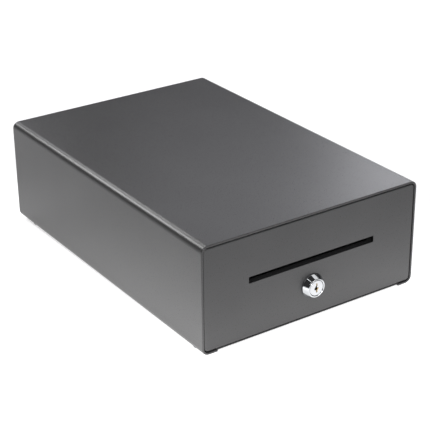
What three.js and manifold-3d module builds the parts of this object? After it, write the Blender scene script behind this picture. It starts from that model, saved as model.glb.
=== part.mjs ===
// A compact cash drawer with a slip slot and a key lock. Millimetres, +Z up, the front faces -Y.
// The origin is the centre of the overall footprint, on the surface that the feet stand on.
import * as THREE from 'three';
import { mergeVertices } from 'three/addons/utils/BufferGeometryUtils.js';
import Module from 'manifold-3d';

const wasm = await Module();
wasm.setup();

// ---- Driving dimensions ----
const SHEET = 1.2; // steel sheet of the case, the drawer and the brackets
const GAP = 0.3; // gap between pieces that lie against each other
const ARC_SEGMENTS = 4; // segments in each rounded corner

const FOOT = { height: 4, radius: 7.5, stem: 2.8, barb: 4, x: 126, y: 178 };
const CASE = { width: 280, depth: 408, height: 124, corner: 8, hem: 2.4, hemDepth: 12, flange: 18.6 };
const HALF = CASE.width / 2;
const FRONT = -CASE.depth / 2;
const BACK = CASE.depth / 2;
const BOTTOM = FOOT.height;
const TOP = BOTTOM + CASE.height;
const LIP = { depth: 14, topHalf: 128, sideLow: 14, sideHigh: 118 };

const PAN = { front: -190, back: 200, wallTop: 48, tongueHalf: 120, tongueFront: -202.5, hem: 6.5, hemDrop: 0.7 };
const PAN_INSET = SHEET + GAP;
const PAN_FLOOR = BOTTOM + PAN_INSET + SHEET; // top of the base pan's floor
const PAN_WALL = HALF - PAN_INSET - SHEET; // inner face of the base pan's wall

const PANEL = { half: 136.5, low: 8.2, high: 124.5, corner: 4.5, face: FRONT + 0.5, back: -190.5 };
const SLOT = { half: 82, low: 70.1, high: 77.5 };
const DEFLECTOR = { high: 93, bend: 82.9, low: 60, foot: -165.2, lean: 0.8 };

const BOX = { half: 124, front: -190, back: 150, low: 14, high: 96 };
const LEDGE = { inner: 114.8, low: 30.5, front: -150, back: 110 };

const CASE_RAIL = { web: PAN_WALL - GAP, inner: 126.2, low: 18.8, high: 39.8, front: -190, back: 196 };
const DRAWER_RAIL = { web: BOX.half + GAP, outer: 135, low: 20.5, high: 37.9, front: -188, back: 148 };
const SHELF = { thick: 1.5, back: 126 }; // the drawer runner's flange, which ends in front of its roller
const CASE_ROLLER = { radius: 7.9, x: 129.6, y: -178, z: 28.3 };
const DRAWER_ROLLER = { radius: 8.8, x: 126.6, y: 138, z: 29 };
const ROLLER_WIDTH = 5;
const PIN = { radius: 2.6, bore: 2.8, head: 4, headThick: 1 };

const LOCK = { z: 42.4, bezel: 14, ring: 10.5, proud: 7, barrel: 9.4, back: -178, plugHead: 8.8, plug: 6.5 };
const LOCK_BORE = 0.3; // radial clearance of the plug and of the holes round the barrel
const CAM = { front: -176.5, thick: 2, reach: 34.7, halfWidth: 6, hub: 9 };

const TILL = { half: 121.5, front: -154, back: 112, low: 32, high: 90, wall: 2.5, corner: 6, crossWall: -66 };
const CUP = { count: 5, width: 46.8, pitch: 47.6, front: -150.8, back: -66.7, high: 88, wall: 2, corner: 4 };
const DIVIDER = { x: 40, thick: 2, front: -63, back: 107, high: 84 };
const AXLE = { y: 103, z: 58, radius: 2, half: 118.7 };
const CLIP = { reach: 60, halfWidth: 11, thick: 2, hub: 4.6, pad: 3.5, padHalf: 14, tilt: 18.9, pitch: 80 };

const BRACKET = { front: 166, thick: 1.5, left: 2, right: 108, high: 66, footBack: 188 };
const BRACKET_WINDOW = { left: 5, right: 25, low: 27, high: 45 };
const STRIKER = { left: 8, right: 22, tongue: 30, thick: 1.5, back: 173.3, lugHigh: 39 };
const LEVER = { x: 60, z: 40, front: 168, thick: 3, bore: 2.8, release: 14, crank: 14 };
const SOLENOID = { left: 74, right: 104, low: 44, high: 64, y: 180, z: 54, back: 190, bore: 3.6 };
const PLUNGER = { radius: 3.2, tongueThick: 2.8, slotWidth: 3.6 };
const SWITCH = { left: 86, right: 108, low: 12, high: 24.8, back: 177.8 };
const LEAF = { x: 104, z: 26, length: 22, rise: 2.9, halfThick: 0.35 };
const EJECTOR = { x: -50, z: 42, rod: 3, front: 156, coil: 6, wire: 0.9, turns: 8 };
const LATCH_SPRING = { y: 175, coil: 3, wire: 0.5, turns: 9, low: 11.3 };
const JACK = { x: -100, z: 24, half: 8, front: 186, back: 203.4 };
const SOCKET = { half: 4.85, high: 6.8, deep: 12, notchHalf: 1.6 };
const SCREW = { shank: 1.8, hole: 2.2, head: 3.6, headThick: 1.9, length: 8 };
const REAR_SCREW = { x: 132, low: 30, high: 105 };
const BASE_SCREW = { x: 128, y: 70 };

// The lock stands out in front and the screw heads behind; this shift centres the whole footprint.
const SHIFT_Y = (LOCK.proud - GAP - SCREW.headThick) / 2;

// ---- Materials ----
function finish(color, roughness, metalness) {
  return new THREE.MeshStandardMaterial({ color, roughness, metalness });
}

const charcoal = finish(0x4a4d51, 0.55, 0.2);
const zinc = finish(0xb4b8ba, 0.4, 0.9);
const chrome = finish(0xdfe2e4, 0.12, 1);
const blackPlastic = finish(0x1c1d1f, 0.6, 0);
const nylon = finish(0xe4e2da, 0.5, 0);
const rubber = finish(0x17181a, 0.85, 0);
const copper = finish(0x9c5a2c, 0.4, 0.8);
const wireSleeve = finish(0x222326, 0.7, 0);

// ---- Geometry helpers ----
// Where the local x, y and z of an outline go when it is extruded along each world axis.
const AXES = {
  x: [[0, 1, 0], [0, 0, 1], [1, 0, 0]],
  y: [[1, 0, 0], [0, 0, 1], [0, -1, 0]],
  z: [[1, 0, 0], [0, 1, 0], [0, 0, 1]],
};

function solid(geometry) {
  const bare = geometry.index ? geometry.toNonIndexed() : geometry.clone();
  bare.deleteAttribute('normal');
  bare.deleteAttribute('uv');
  const merged = mergeVertices(bare, 1e-4);
  const mesh = new wasm.Mesh({
    numProp: 3,
    vertProperties: merged.attributes.position.array,
    triVerts: new Uint32Array(merged.index.array),
  });
  return new wasm.Manifold(mesh);
}

function box([x0, x1], [y0, y1], [z0, z1]) {
  const geometry = new THREE.BoxGeometry(x1 - x0, y1 - y0, z1 - z0);
  geometry.translate((x0 + x1) / 2, (y0 + y1) / 2, (z0 + z1) / 2);
  return solid(geometry);
}

// Extrudes an outline along a world axis. The outline's plane is (y, z), (x, z) or (x, y).
function prism(outline, axis, from, to) {
  const geometry = new THREE.ExtrudeGeometry(outline, {
    depth: to - from,
    bevelEnabled: false,
    curveSegments: ARC_SEGMENTS,
  });
  const [u, v, w] = AXES[axis].map((direction) => new THREE.Vector3(...direction));
  const start = w.clone().multiplyScalar(axis === 'y' ? -to : from);
  geometry.applyMatrix4(new THREE.Matrix4().makeBasis(u, v, w).setPosition(start));
  return solid(geometry);
}

function polygon(points) {
  return new THREE.Shape(points.map(([u, v]) => new THREE.Vector2(u, v)));
}

function roundedRect([u0, u1], [v0, v1], radius) {
  const shape = new THREE.Shape();
  shape.moveTo(u0 + radius, v0);
  shape.lineTo(u1 - radius, v0);
  shape.absarc(u1 - radius, v0 + radius, radius, -Math.PI / 2, 0);
  shape.lineTo(u1, v1 - radius);
  shape.absarc(u1 - radius, v1 - radius, radius, 0, Math.PI / 2);
  shape.lineTo(u0 + radius, v1);
  shape.absarc(u0 + radius, v1 - radius, radius, Math.PI / 2, Math.PI);
  shape.lineTo(u0, v0 + radius);
  shape.absarc(u0 + radius, v0 + radius, radius, Math.PI, 1.5 * Math.PI);
  return shape;
}

function ring(radius, [u, v], sides) {
  const points = [];
  for (let i = 0; i < sides; i += 1) {
    const angle = (2 * Math.PI * (i + 0.5)) / sides;
    points.push([u + radius * Math.cos(angle), v + radius * Math.sin(angle)]);
  }
  return polygon(points);
}

function rod(axis, centre, radius, from, to, sides = 12) {
  return prism(ring(radius, centre, sides), axis, from, to);
}

// Turns a closed profile of [radius, height] points about a vertical axis.
function turned(profile, sides) {
  const points = profile.map(([radius, height]) => new THREE.Vector2(radius, height));
  return new THREE.LatheGeometry([...points, points[0]], sides);
}

// A round wire that follows a curve.
function wire(curve, radius, sides, steps) {
  const geometry = new THREE.ExtrudeGeometry(ring(radius, [0, 0], sides), {
    extrudePath: curve,
    steps,
    bevelEnabled: false,
  });
  return solid(geometry);
}

class Helix extends THREE.Curve {
  constructor(radius, turns, length) {
    super();
    Object.assign(this, { radius, turns, length });
  }

  getPoint(t) {
    const angle = 2 * Math.PI * this.turns * t;
    return new THREE.Vector3(
      this.radius * Math.cos(angle),
      this.radius * Math.sin(angle),
      this.length * t,
    );
  }
}

function coil(radius, wireRadius, turns, length) {
  return wire(new Helix(radius, turns, length), wireRadius, 5, turns * 10);
}

// Makes the same solid on the other side of the x = 0 plane.
function mirrored(piece) {
  return piece.mirror([1, 0, 0]);
}

function node(name, piece, material) {
  const { vertProperties, triVerts } = piece.getMesh();
  const geometry = new THREE.BufferGeometry();
  geometry.setAttribute('position', new THREE.BufferAttribute(vertProperties, 3));
  geometry.setIndex(new THREE.BufferAttribute(triVerts, 1));
  geometry.computeVertexNormals();
  const mesh = new THREE.Mesh(geometry, material);
  mesh.name = name;
  return mesh;
}

// The case outline seen from the front, moved inwards by inset.
function caseOutline(inset) {
  const across = [-HALF + inset, HALF - inset];
  return roundedRect(across, [BOTTOM + inset, TOP - inset], CASE.corner - inset);
}

function caseBand(outerInset, innerInset, from, to) {
  const outer = prism(caseOutline(outerInset), 'y', from, to);
  return outer.subtract(prism(caseOutline(innerInset), 'y', from - 1, to + 1));
}

// ---- Cabinet ----
const footPlaces = [[-1, -1], [1, -1], [-1, 1], [1, 1]].map(([sx, sy]) => [sx * FOOT.x, sy * FOOT.y]);
const baseScrewPlaces = footPlaces.map(([x, y]) => [Math.sign(x) * BASE_SCREW.x, Math.sign(y) * BASE_SCREW.y]);
const rearScrewPlaces = [-1, 1].flatMap((side) => [
  [side * REAR_SCREW.x, REAR_SCREW.low],
  [side * REAR_SCREW.x, REAR_SCREW.high],
]);

// The holes that the feet and the base screws pass through.
function baseHoles() {
  const stems = footPlaces.map((place) => rod('z', place, FOOT.stem + GAP, 0, PAN_FLOOR + 1));
  const screws = baseScrewPlaces.map((place) => rod('z', place, SCREW.hole, 0, PAN_FLOOR + 1));
  return wasm.Manifold.union([...stems, ...screws]);
}

function rearHoles() {
  const holes = rearScrewPlaces.map((place) => rod('y', place, SCREW.hole, BACK - 10, BACK + 1));
  return wasm.Manifold.union(holes);
}

function makeCaseShell() {
  const wrap = caseBand(0, SHEET, FRONT, BACK);
  const hem = caseBand(0, CASE.hem, FRONT, FRONT + CASE.hemDepth);
  const bottomEdge = HALF - CASE.flange;
  const open = box([-bottomEdge, bottomEdge], [FRONT - 1, BACK + 1], [BOTTOM - 1, BOTTOM + 5]);
  const lipPlane = [BACK - SHEET, BACK];
  const topLip = box([-LIP.topHalf, LIP.topHalf], lipPlane, [TOP - LIP.depth, TOP - SHEET / 2]);
  const sideLip = box([HALF - LIP.depth, HALF - SHEET / 2], lipPlane, [LIP.sideLow, LIP.sideHigh]);
  return wrap
    .add(hem)
    .subtract(open)
    .add(topLip)
    .add(sideLip)
    .add(mirrored(sideLip))
    .subtract(baseHoles())
    .subtract(rearHoles());
}

function makeBasePan() {
  const band = caseBand(PAN_INSET, PAN_INSET + SHEET, PAN.front, PAN.back);
  const above = box([-HALF, HALF], [FRONT, BACK], [PAN.wallTop, TOP + 1]);
  const tongueLow = PAN_FLOOR - SHEET;
  const tongue = box(
    [-PAN.tongueHalf, PAN.tongueHalf],
    [PAN.tongueFront, PAN.front + 1],
    [tongueLow, PAN_FLOOR],
  );
  const tongueHem = box(
    [-PAN.tongueHalf, PAN.tongueHalf],
    [PAN.tongueFront, PAN.tongueFront + PAN.hem],
    [tongueLow - PAN.hemDrop, PAN_FLOOR],
  );
  return band.subtract(above).add(tongue).add(tongueHem).subtract(baseHoles());
}

function makeRearPanel() {
  const back = BACK - SHEET - GAP;
  const low = PAN_FLOOR + GAP;
  const high = TOP - SHEET - GAP;
  const plate = prism(roundedRect([-137, 137], [low, high], 5), 'y', back - SHEET, back);
  const topFlange = box([-120, 120], [back - 12, back - SHEET / 2], [high - SHEET, high]);
  const footFlange = box([-110, 110], [back - 10, back - SHEET / 2], [low, low + SHEET]);
  const jackHole = box(
    [JACK.x - JACK.half - GAP, JACK.x + JACK.half + GAP],
    [back - 3, back + 1],
    [JACK.z - JACK.half - GAP, JACK.z + JACK.half + GAP],
  );
  return plate.add(topFlange).add(footFlange).subtract(jackHole).subtract(rearHoles());
}

function makeFoot() {
  const stemTop = PAN_FLOOR + GAP;
  const profile = [
    [0, 0],
    [FOOT.radius - 1, 0],
    [FOOT.radius, 1],
    [FOOT.radius - 0.5, FOOT.height - GAP],
    [FOOT.stem, FOOT.height - GAP],
    [FOOT.stem, stemTop],
    [FOOT.barb, stemTop + 0.5],
    [FOOT.stem - 0.6, stemTop + 2.5],
    [0, stemTop + 2.5],
  ];
  return solid(turned(profile, 14).rotateX(Math.PI / 2));
}

// A pan-head screw whose head rests just off the z = 0 plane, with its shank along -Z.
function makeScrew() {
  const profile = [
    [0, -SCREW.length],
    [SCREW.shank, -SCREW.length],
    [SCREW.shank, GAP],
    [SCREW.head, GAP],
    [SCREW.head - 0.4, GAP + SCREW.headThick * 0.7],
    [SCREW.head - 1.6, GAP + SCREW.headThick],
    [0, GAP + SCREW.headThick],
  ];
  const slotHalf = SCREW.head - 1.5;
  const top = GAP + SCREW.headThick;
  const bar = box([-slotHalf, slotHalf], [-0.4, 0.4], [top - 0.9, top + 1]);
  const crossBar = box([-0.4, 0.4], [-slotHalf, slotHalf], [top - 0.9, top + 1]);
  return solid(turned(profile, 10).rotateX(Math.PI / 2)).subtract(bar).subtract(crossBar);
}

// ---- Runners: a channel on each side of the case and one on each side of the drawer ----
function makeCaseRail() {
  const along = [CASE_RAIL.front, CASE_RAIL.back];
  const across = [CASE_RAIL.inner, CASE_RAIL.web];
  const web = box([CASE_RAIL.web - SHEET, CASE_RAIL.web], along, [CASE_RAIL.low, CASE_RAIL.high]);
  const lowFlange = box(across, along, [CASE_RAIL.low, CASE_RAIL.low + SHEET]);
  const highFlange = box(across, along, [CASE_RAIL.high - SHEET, CASE_RAIL.high]);
  const hole = rod('x', [CASE_ROLLER.y, CASE_ROLLER.z], PIN.bore, CASE_RAIL.web - 3, CASE_RAIL.web + 1);
  return web.add(lowFlange).add(highFlange).subtract(hole);
}

function makeDrawerRail() {
  const { web, outer, low, high, front, back } = DRAWER_RAIL;
  const wall = box([web, web + SHEET], [front, back], [low, high]);
  const shelf = box([web, outer], [front, SHELF.back], [high - SHELF.thick, high]);
  const hole = rod('x', [DRAWER_ROLLER.y, DRAWER_ROLLER.z], PIN.bore, web - 1, web + 3);
  return wall.add(shelf).subtract(hole);
}

function makeRoller(radius) {
  const rim = radius - 0.8;
  const profile = [
    [PIN.bore, 0],
    [rim, 0],
    [radius, 0.8],
    [radius, ROLLER_WIDTH - 0.8],
    [rim, ROLLER_WIDTH],
    [PIN.bore, ROLLER_WIDTH],
  ];
  return solid(turned(profile, 20).rotateZ(-Math.PI / 2));
}

// The pins lie along X: the case's has its head on the inner end, the drawer's on the outer end.
function makeCaseRollerPin() {
  const centre = [CASE_ROLLER.y, CASE_ROLLER.z];
  const headAt = CASE_ROLLER.x - GAP;
  const shank = rod('x', centre, PIN.radius, headAt - PIN.headThick, CASE_RAIL.web);
  return shank.add(rod('x', centre, PIN.head, headAt - PIN.headThick, headAt));
}

function makeDrawerRollerPin() {
  const centre = [DRAWER_ROLLER.y, DRAWER_ROLLER.z];
  const headAt = DRAWER_ROLLER.x + ROLLER_WIDTH + GAP;
  const shank = rod('x', centre, PIN.radius, DRAWER_RAIL.web, headAt + PIN.headThick);
  return shank.add(rod('x', centre, PIN.head, headAt, headAt + PIN.headThick));
}

// ---- Drawer ----
function makeFrontPanel() {
  const across = [-PANEL.half, PANEL.half];
  const outer = roundedRect(across, [PANEL.low, PANEL.high], PANEL.corner);
  const inner = roundedRect(
    [-PANEL.half + SHEET, PANEL.half - SHEET],
    [PANEL.low + SHEET, PANEL.high - SHEET],
    PANEL.corner - SHEET,
  );
  const through = [PANEL.face - 1, PANEL.face + SHEET + 1];
  return prism(outer, 'y', PANEL.face, PANEL.back)
    .subtract(prism(inner, 'y', PANEL.face + SHEET, PANEL.back + 1))
    .subtract(box([-SLOT.half, SLOT.half], through, [SLOT.low, SLOT.high]))
    .subtract(rod('y', [0, LOCK.z], LOCK.barrel + LOCK_BORE, PANEL.face - 1, PANEL.back, 28));
}

function makeDrawerBox() {
  const inner = BOX.half - SHEET;
  const body = box([-BOX.half, BOX.half], [BOX.front, BOX.back], [BOX.low, BOX.high]);
  const hollow = box([-inner, inner], [BOX.front + SHEET, BOX.back - SHEET], [BOX.low + SHEET, BOX.high + 1]);
  const through = [BOX.front - 1, BOX.front + 3];
  const slot = box([-SLOT.half - 2, SLOT.half + 2], through, [SLOT.low - 4, SLOT.high + 4.5]);
  const lockHole = rod('y', [0, LOCK.z], LOCK.barrel + 2 * LOCK_BORE, ...through, 28);
  const camSlot = box([-9, 23], [CAM.front - 3.5, CAM.front + 5.5], [BOX.low - 1, BOX.low + 3]);
  const ledge = box(
    [LEDGE.inner, inner + SHEET / 2],
    [LEDGE.front, LEDGE.back],
    [LEDGE.low, LEDGE.low + SHEET],
  );
  return body
    .subtract(hollow)
    .subtract(slot)
    .subtract(lockHole)
    .subtract(camSlot)
    .add(ledge)
    .add(mirrored(ledge));
}

// A bent sheet behind the slot that turns slips and cheques down into the drawer.
function makeDeflector() {
  const { high, bend, low, foot, lean } = DEFLECTOR;
  const wall = BOX.front + SHEET + GAP;
  const profile = [
    [wall, high],
    [wall, bend],
    [foot, low],
    [foot + lean, low + lean],
    [wall + SHEET, bend + 0.5],
    [wall + SHEET, high],
  ];
  return prism(polygon(profile), 'x', -SLOT.half, SLOT.half);
}

function makeStriker() {
  const { left, right, tongue, thick, back, lugHigh } = STRIKER;
  const front = BOX.back + GAP;
  const plate = box([left - 4, right + 4], [front, front + thick], [tongue - 6, tongue + 20]);
  const arm = box([left, right], [front, back], [tongue, tongue + thick]);
  const lug = box([left, right], [back - thick, back], [tongue, lugHigh]);
  return plate.add(arm).add(lug);
}

// ---- Till ----
function makeTillTray() {
  const { half, front, back, low, high, wall, corner, crossWall } = TILL;
  const outer = prism(roundedRect([-half, half], [front, back], corner), 'z', low, high);
  const inside = roundedRect([-half + wall, half - wall], [front + wall, back - wall], corner - wall);
  const cross = box([-half + wall / 2, half - wall / 2], [crossWall, crossWall + wall], [low, DIVIDER.high]);
  return outer.subtract(prism(inside, 'z', low + wall, high + 1)).add(cross);
}

// A removable cup with a bottom that scoops up to its front and back.
function makeCoinCup() {
  const low = TILL.low + TILL.wall + GAP;
  const half = CUP.width / 2;
  const outer = prism(roundedRect([-half, half], [CUP.front, CUP.back], CUP.corner), 'z', low, CUP.high);
  const scoop = roundedRect(
    [CUP.front + CUP.wall, CUP.back - CUP.wall],
    [low + CUP.wall, CUP.high + 40],
    26,
  );
  return outer.subtract(prism(scoop, 'x', -half + CUP.wall, half - CUP.wall));
}

function makeDivider(x) {
  const low = TILL.low + TILL.wall + GAP;
  const across = [x - DIVIDER.thick / 2, x + DIVIDER.thick / 2];
  const plate = box(across, [DIVIDER.front, DIVIDER.back], [low, DIVIDER.high]);
  return plate.subtract(rod('x', [AXLE.y, AXLE.z], AXLE.radius + GAP, x - 5, x + 5));
}

// A note clip about its own axle, with the arm level and pointing to -Y.
function makeBillClip() {
  const across = [-CLIP.halfWidth, CLIP.halfWidth];
  const hub = rod('x', [0, 0], CLIP.hub, ...across, 24);
  const arm = box(across, [-CLIP.reach, 0], [-CLIP.thick / 2, CLIP.thick / 2]);
  const pad = rod('x', [-CLIP.reach, 0], CLIP.pad, -CLIP.padHalf, CLIP.padHalf);
  const bore = rod('x', [0, 0], AXLE.radius + GAP, -CLIP.halfWidth - 1, CLIP.halfWidth + 1);
  return hub.add(arm).add(pad).subtract(bore);
}

// ---- Lock ----
// Turns a profile of [radius, y] points about the lock's own axis.
function turnedOnLock(profile, sides) {
  return solid(turned(profile, sides)).translate([0, 0, LOCK.z]);
}

function makeLockBody() {
  const seat = PANEL.face - GAP;
  const tip = FRONT - LOCK.proud;
  const recess = LOCK.plugHead + LOCK_BORE;
  const bore = LOCK.plug + LOCK_BORE;
  return turnedOnLock(
    [
      [bore, LOCK.back],
      [bore, tip + 4],
      [recess, tip + 4],
      [recess, tip],
      [LOCK.ring, tip],
      [LOCK.bezel, seat - 1],
      [LOCK.bezel, seat],
      [LOCK.barrel, seat],
      [LOCK.barrel, LOCK.back],
    ],
    28,
  );
}

// The keyway steps from side to side down the plug's face.
function keywayOutline() {
  const steps = [-5.5, -3.3, -1.1, 1.1, 3.3, 5.5];
  const sway = (i) => (i % 2 ? 0.55 : -0.55);
  const right = steps.map((v, i) => [sway(i) + 0.8, LOCK.z + v]);
  const left = steps.map((v, i) => [sway(i) - 0.8, LOCK.z + v]);
  return polygon([...right, ...left.reverse()]);
}

function makeLockPlug() {
  const face = FRONT - LOCK.proud + GAP;
  const plug = turnedOnLock(
    [
      [0, CAM.front - GAP],
      [0, face],
      [LOCK.plugHead, face],
      [LOCK.plugHead, face + 3.4],
      [LOCK.plug, face + 3.4],
      [LOCK.plug, CAM.front - GAP],
    ],
    24,
  );
  return plug.subtract(prism(keywayOutline(), 'y', face - 1, face + 20));
}

function makeLockCam() {
  const plate = rod('y', [0, LOCK.z], CAM.hub, CAM.front, CAM.front + CAM.thick, 28);
  const arm = box(
    [0, CAM.reach],
    [CAM.front, CAM.front + CAM.thick],
    [LOCK.z - CAM.halfWidth, LOCK.z + CAM.halfWidth],
  );
  return plate.add(arm);
}

function makeLockNut() {
  const front = PANEL.face + SHEET + GAP;
  const hex = rod('y', [0, LOCK.z], 14, front, front + 3.5, 6);
  return hex.subtract(rod('y', [0, LOCK.z], LOCK.barrel + LOCK_BORE, front - 1, front + 5, 28));
}

// A lug on the base pan that the turned cam stands behind.
function makeLockKeeper() {
  const low = PAN_FLOOR + GAP;
  const back = CAM.front - 0.8;
  const foot = box([-10, 10], [back - 10, back], [low, low + SHEET]);
  return foot.add(box([-10, 10], [back - SHEET, back], [low, BOX.low - 1.5]));
}

// ---- Latch, behind the drawer ----
function makeLatchBracket() {
  const { front, thick, left, right, high, footBack } = BRACKET;
  const low = PAN_FLOOR + GAP;
  const rear = front + thick;
  const { x, z } = LEVER;
  const leverBack = LEVER.front + LEVER.thick;
  const plate = box([left, right], [front, rear], [low, high]);
  const foot = box([left, right], [front, footBack], [low, low + SHEET]);
  const windowCut = box(
    [BRACKET_WINDOW.left, BRACKET_WINDOW.right],
    [front - 1, rear + 1],
    [BRACKET_WINDOW.low, BRACKET_WINDOW.high],
  );
  const stud = rod('y', [x, z], LEVER.bore - GAP, rear - 0.5, leverBack + 1.5);
  const studHead = rod('y', [x, z], 4.5, leverBack + GAP, leverBack + 1.5);
  const springPost = rod('z', [springX(), LATCH_SPRING.y], 1.3, low, LATCH_SPRING.low - GAP);
  return plate.add(foot).subtract(windowCut).add(stud).add(studHead).add(springPost);
}

// A point on the latch lever, given about its pivot as if engaged, once it is swung to released.
function releasedPoint(x, z) {
  const angle = THREE.MathUtils.degToRad(LEVER.release);
  return [
    LEVER.x + x * Math.cos(angle) + z * Math.sin(angle),
    LEVER.z - x * Math.sin(angle) + z * Math.cos(angle),
  ];
}

function springX() {
  return releasedPoint(-22, 1)[0];
}

// The lever about its pivot, in its engaged pose: nose to -X, crank up, tail to +X.
function makeLatchLever() {
  const plane = [0, LEVER.thick];
  const hub = rod('y', [0, 0], 7, ...plane, 24);
  const arm = box([-40, 0], plane, [-2, 4]);
  const nose = box([-52, -38], plane, [-7.7, 4]);
  const crank = box([-3.5, 3.5], plane, [0, LEVER.crank + 3]);
  const tail = box([0, 26], plane, [-4, 2]);
  const crankPin = rod('y', [0, LEVER.crank], 1.5, 1, 16, 16);
  const springPeg = rod('y', [-22, 1], 1.3, 1, 10, 12);
  return hub
    .add(arm)
    .add(nose)
    .add(crank)
    .add(tail)
    .add(crankPin)
    .add(springPeg)
    .subtract(rod('y', [0, 0], LEVER.bore, -1, LEVER.thick + 1));
}

function makeLatchSpring() {
  const top = releasedPoint(-22, 1)[1] - 1.3 - GAP;
  const { coil: radius, wire: thickness, turns, low, y } = LATCH_SPRING;
  const length = top - low - 2 * thickness;
  return coil(radius, thickness, turns, length).translate([springX(), y, low + thickness]);
}

function makeSolenoidFrame() {
  const { left, right, low, high, y, z, back, bore } = SOLENOID;
  const front = BRACKET.front + BRACKET.thick + GAP;
  const plate = box([left, right], [front, front + 1.5], [low, high]);
  const nearCheek = box([left, left + 1.5], [front, back], [low, high]);
  const farCheek = box([right - 1.5, right], [front, back], [low, high]);
  return plate.add(nearCheek).add(farCheek).subtract(rod('x', [y, z], bore, left - 1, left + 3));
}

function makeSolenoidCoil() {
  const { left, right, y, z, bore } = SOLENOID;
  const from = left + 1.5 + GAP;
  const to = right - 1.5 - GAP;
  return rod('x', [y, z], 8.4, from, to, 20)
    .add(rod('x', [y, z], 9.4, from, from + 1.2, 20))
    .add(rod('x', [y, z], 9.4, to - 1.2, to, 20))
    .subtract(rod('x', [y, z], bore, from - 1, to + 1));
}

function makePlunger() {
  const { y, z } = SOLENOID;
  const slotX = releasedPoint(0, LEVER.crank)[0];
  const halfThick = PLUNGER.tongueThick / 2;
  const halfSlot = PLUNGER.slotWidth / 2;
  const stem = rod('x', [y, z], PLUNGER.radius, slotX + 4, SOLENOID.right - 6);
  const tongue = box([slotX - 4.5, slotX + 6], [y - halfThick, y + halfThick], [z - 5, z + 5]);
  const slot = box([slotX - halfSlot, slotX + halfSlot], [y - 5, y + 5], [z - 3.5, z + 3]);
  return stem.add(tongue).subtract(slot);
}

function makeSwitchBody() {
  const { left, right, low, high, back } = SWITCH;
  const front = BRACKET.front + BRACKET.thick + GAP;
  const body = box([left, right], [front, back], [low, high]);
  return body.add(box([left + 4, left + 7], [front + 1.5, front + 4], [high - 1, high + 1.2]));
}

// A thin leaf that the latch lever's tail rests on, with its free end raised by its tilt.
function makeSwitchLever() {
  const { x, z, length, rise, halfThick } = LEAF;
  const along = [LEVER.front + GAP, LEVER.front + 4.5];
  const blade = polygon([
    [x, z - halfThick],
    [x, z + halfThick],
    [x - length, z + rise + halfThick],
    [x - length, z + rise - halfThick],
  ]);
  return prism(blade, 'y', ...along).add(rod('y', [x, z], 0.9, ...along, 12));
}

// ---- Ejector, jack and wiring ----
function makeEjectorRod() {
  const back = BACK - 2 * SHEET - 2 * GAP;
  const centre = [EJECTOR.x, EJECTOR.z];
  return rod('y', centre, EJECTOR.rod, EJECTOR.front, back).add(rod('y', centre, 9, back - 1.5, back, 28));
}

function makeEjectorSpring() {
  const { x, z, coil: radius, wire: thickness, turns } = EJECTOR;
  const from = BOX.back + 0.5 + thickness;
  const to = BACK - 2 * SHEET - 2 * GAP - 1.5 - GAP - thickness;
  return coil(radius, thickness, turns, to - from).rotate([-90, 0, 0]).translate([x, from, z]);
}

function makeJack() {
  const { x, z, half, front, back } = JACK;
  const body = box([x - half, x + half], [front, back], [z - half, z + half]);
  const deep = [back - SOCKET.deep, back + 1];
  const low = z - 4;
  const opening = box([x - SOCKET.half, x + SOCKET.half], deep, [low, low + SOCKET.high]);
  const notch = box([x - SOCKET.notchHalf, x + SOCKET.notchHalf], deep, [low - 1.8, low + 1]);
  return body.subtract(opening).subtract(notch);
}

// The lead from the jack along the base to the solenoid, with a branch to the switch.
function makeHarness() {
  const radius = 2;
  const lay = PAN_FLOOR + GAP + SHEET + GAP + radius;
  const coilBack = SOLENOID.y + 9.4 + GAP;
  const main = new THREE.CatmullRomCurve3(
    [
      [JACK.x, JACK.front - 2 * GAP, JACK.z],
      [JACK.x, JACK.front - 4, JACK.z - 0.2],
      [JACK.x + 1, JACK.front - 9, JACK.z - 4],
      [JACK.x + 6, JACK.front - 9, lay + 2],
      [JACK.x + 16, 180, lay],
      [-50, 184, lay],
      [0, 182, lay],
      [60, 184, lay],
      [78, 188, lay + 1],
      [88, 194, 18],
      [89, 195.5, 36],
      [89, 195, 49],
      [89, coilBack + 3, SOLENOID.z - 0.3],
      [89, coilBack + GAP, SOLENOID.z],
    ].map((point) => new THREE.Vector3(...point)),
  );
  const branch = new THREE.CatmullRomCurve3(
    [
      [60, 184, lay],
      [80, 184, lay],
      [94, 185, 15],
      [97, SWITCH.back + 3.5, 18.8],
      [97, SWITCH.back + 2 * GAP, 19],
    ].map((point) => new THREE.Vector3(...point)),
  );
  return wire(main, radius, 8, 44).add(wire(branch, 1.2, 6, 12));
}

// ---- Assembly ----
const cashDrawer = new THREE.Group();
const cabinet = new THREE.Group();
const drawer = new THREE.Group();
cashDrawer.add(cabinet, drawer);
cashDrawer.position.y = SHIFT_Y;

// Adds a mesh to a group at a place given in the case's own frame.
function place(group, mesh, x = 0, y = 0, z = 0) {
  mesh.position.set(x, y, z);
  group.add(mesh);
  return mesh;
}

place(cabinet, node('case_shell', makeCaseShell(), charcoal));
place(cabinet, node('base_pan', makeBasePan(), charcoal));
place(cabinet, node('rear_panel', makeRearPanel(), charcoal));
footPlaces.forEach(([x, y], i) => {
  place(cabinet, node(`foot_${i + 1}`, makeFoot(), rubber), x, y);
});
baseScrewPlaces.forEach(([x, y], i) => {
  const screw = place(cabinet, node(`base_screw_${i + 1}`, makeScrew(), zinc), x, y, BOTTOM);
  screw.rotation.x = Math.PI;
});
rearScrewPlaces.forEach(([x, z], i) => {
  const screw = place(cabinet, node(`rear_screw_${i + 1}`, makeScrew(), zinc), x, BACK, z);
  screw.rotation.x = -Math.PI / 2;
});

// Adds a piece that is modelled on the right, and its mirror image on the left.
function placePair(group, name, piece, material) {
  place(group, node(`${name}_right`, piece, material));
  place(group, node(`${name}_left`, mirrored(piece), material));
}

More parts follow.
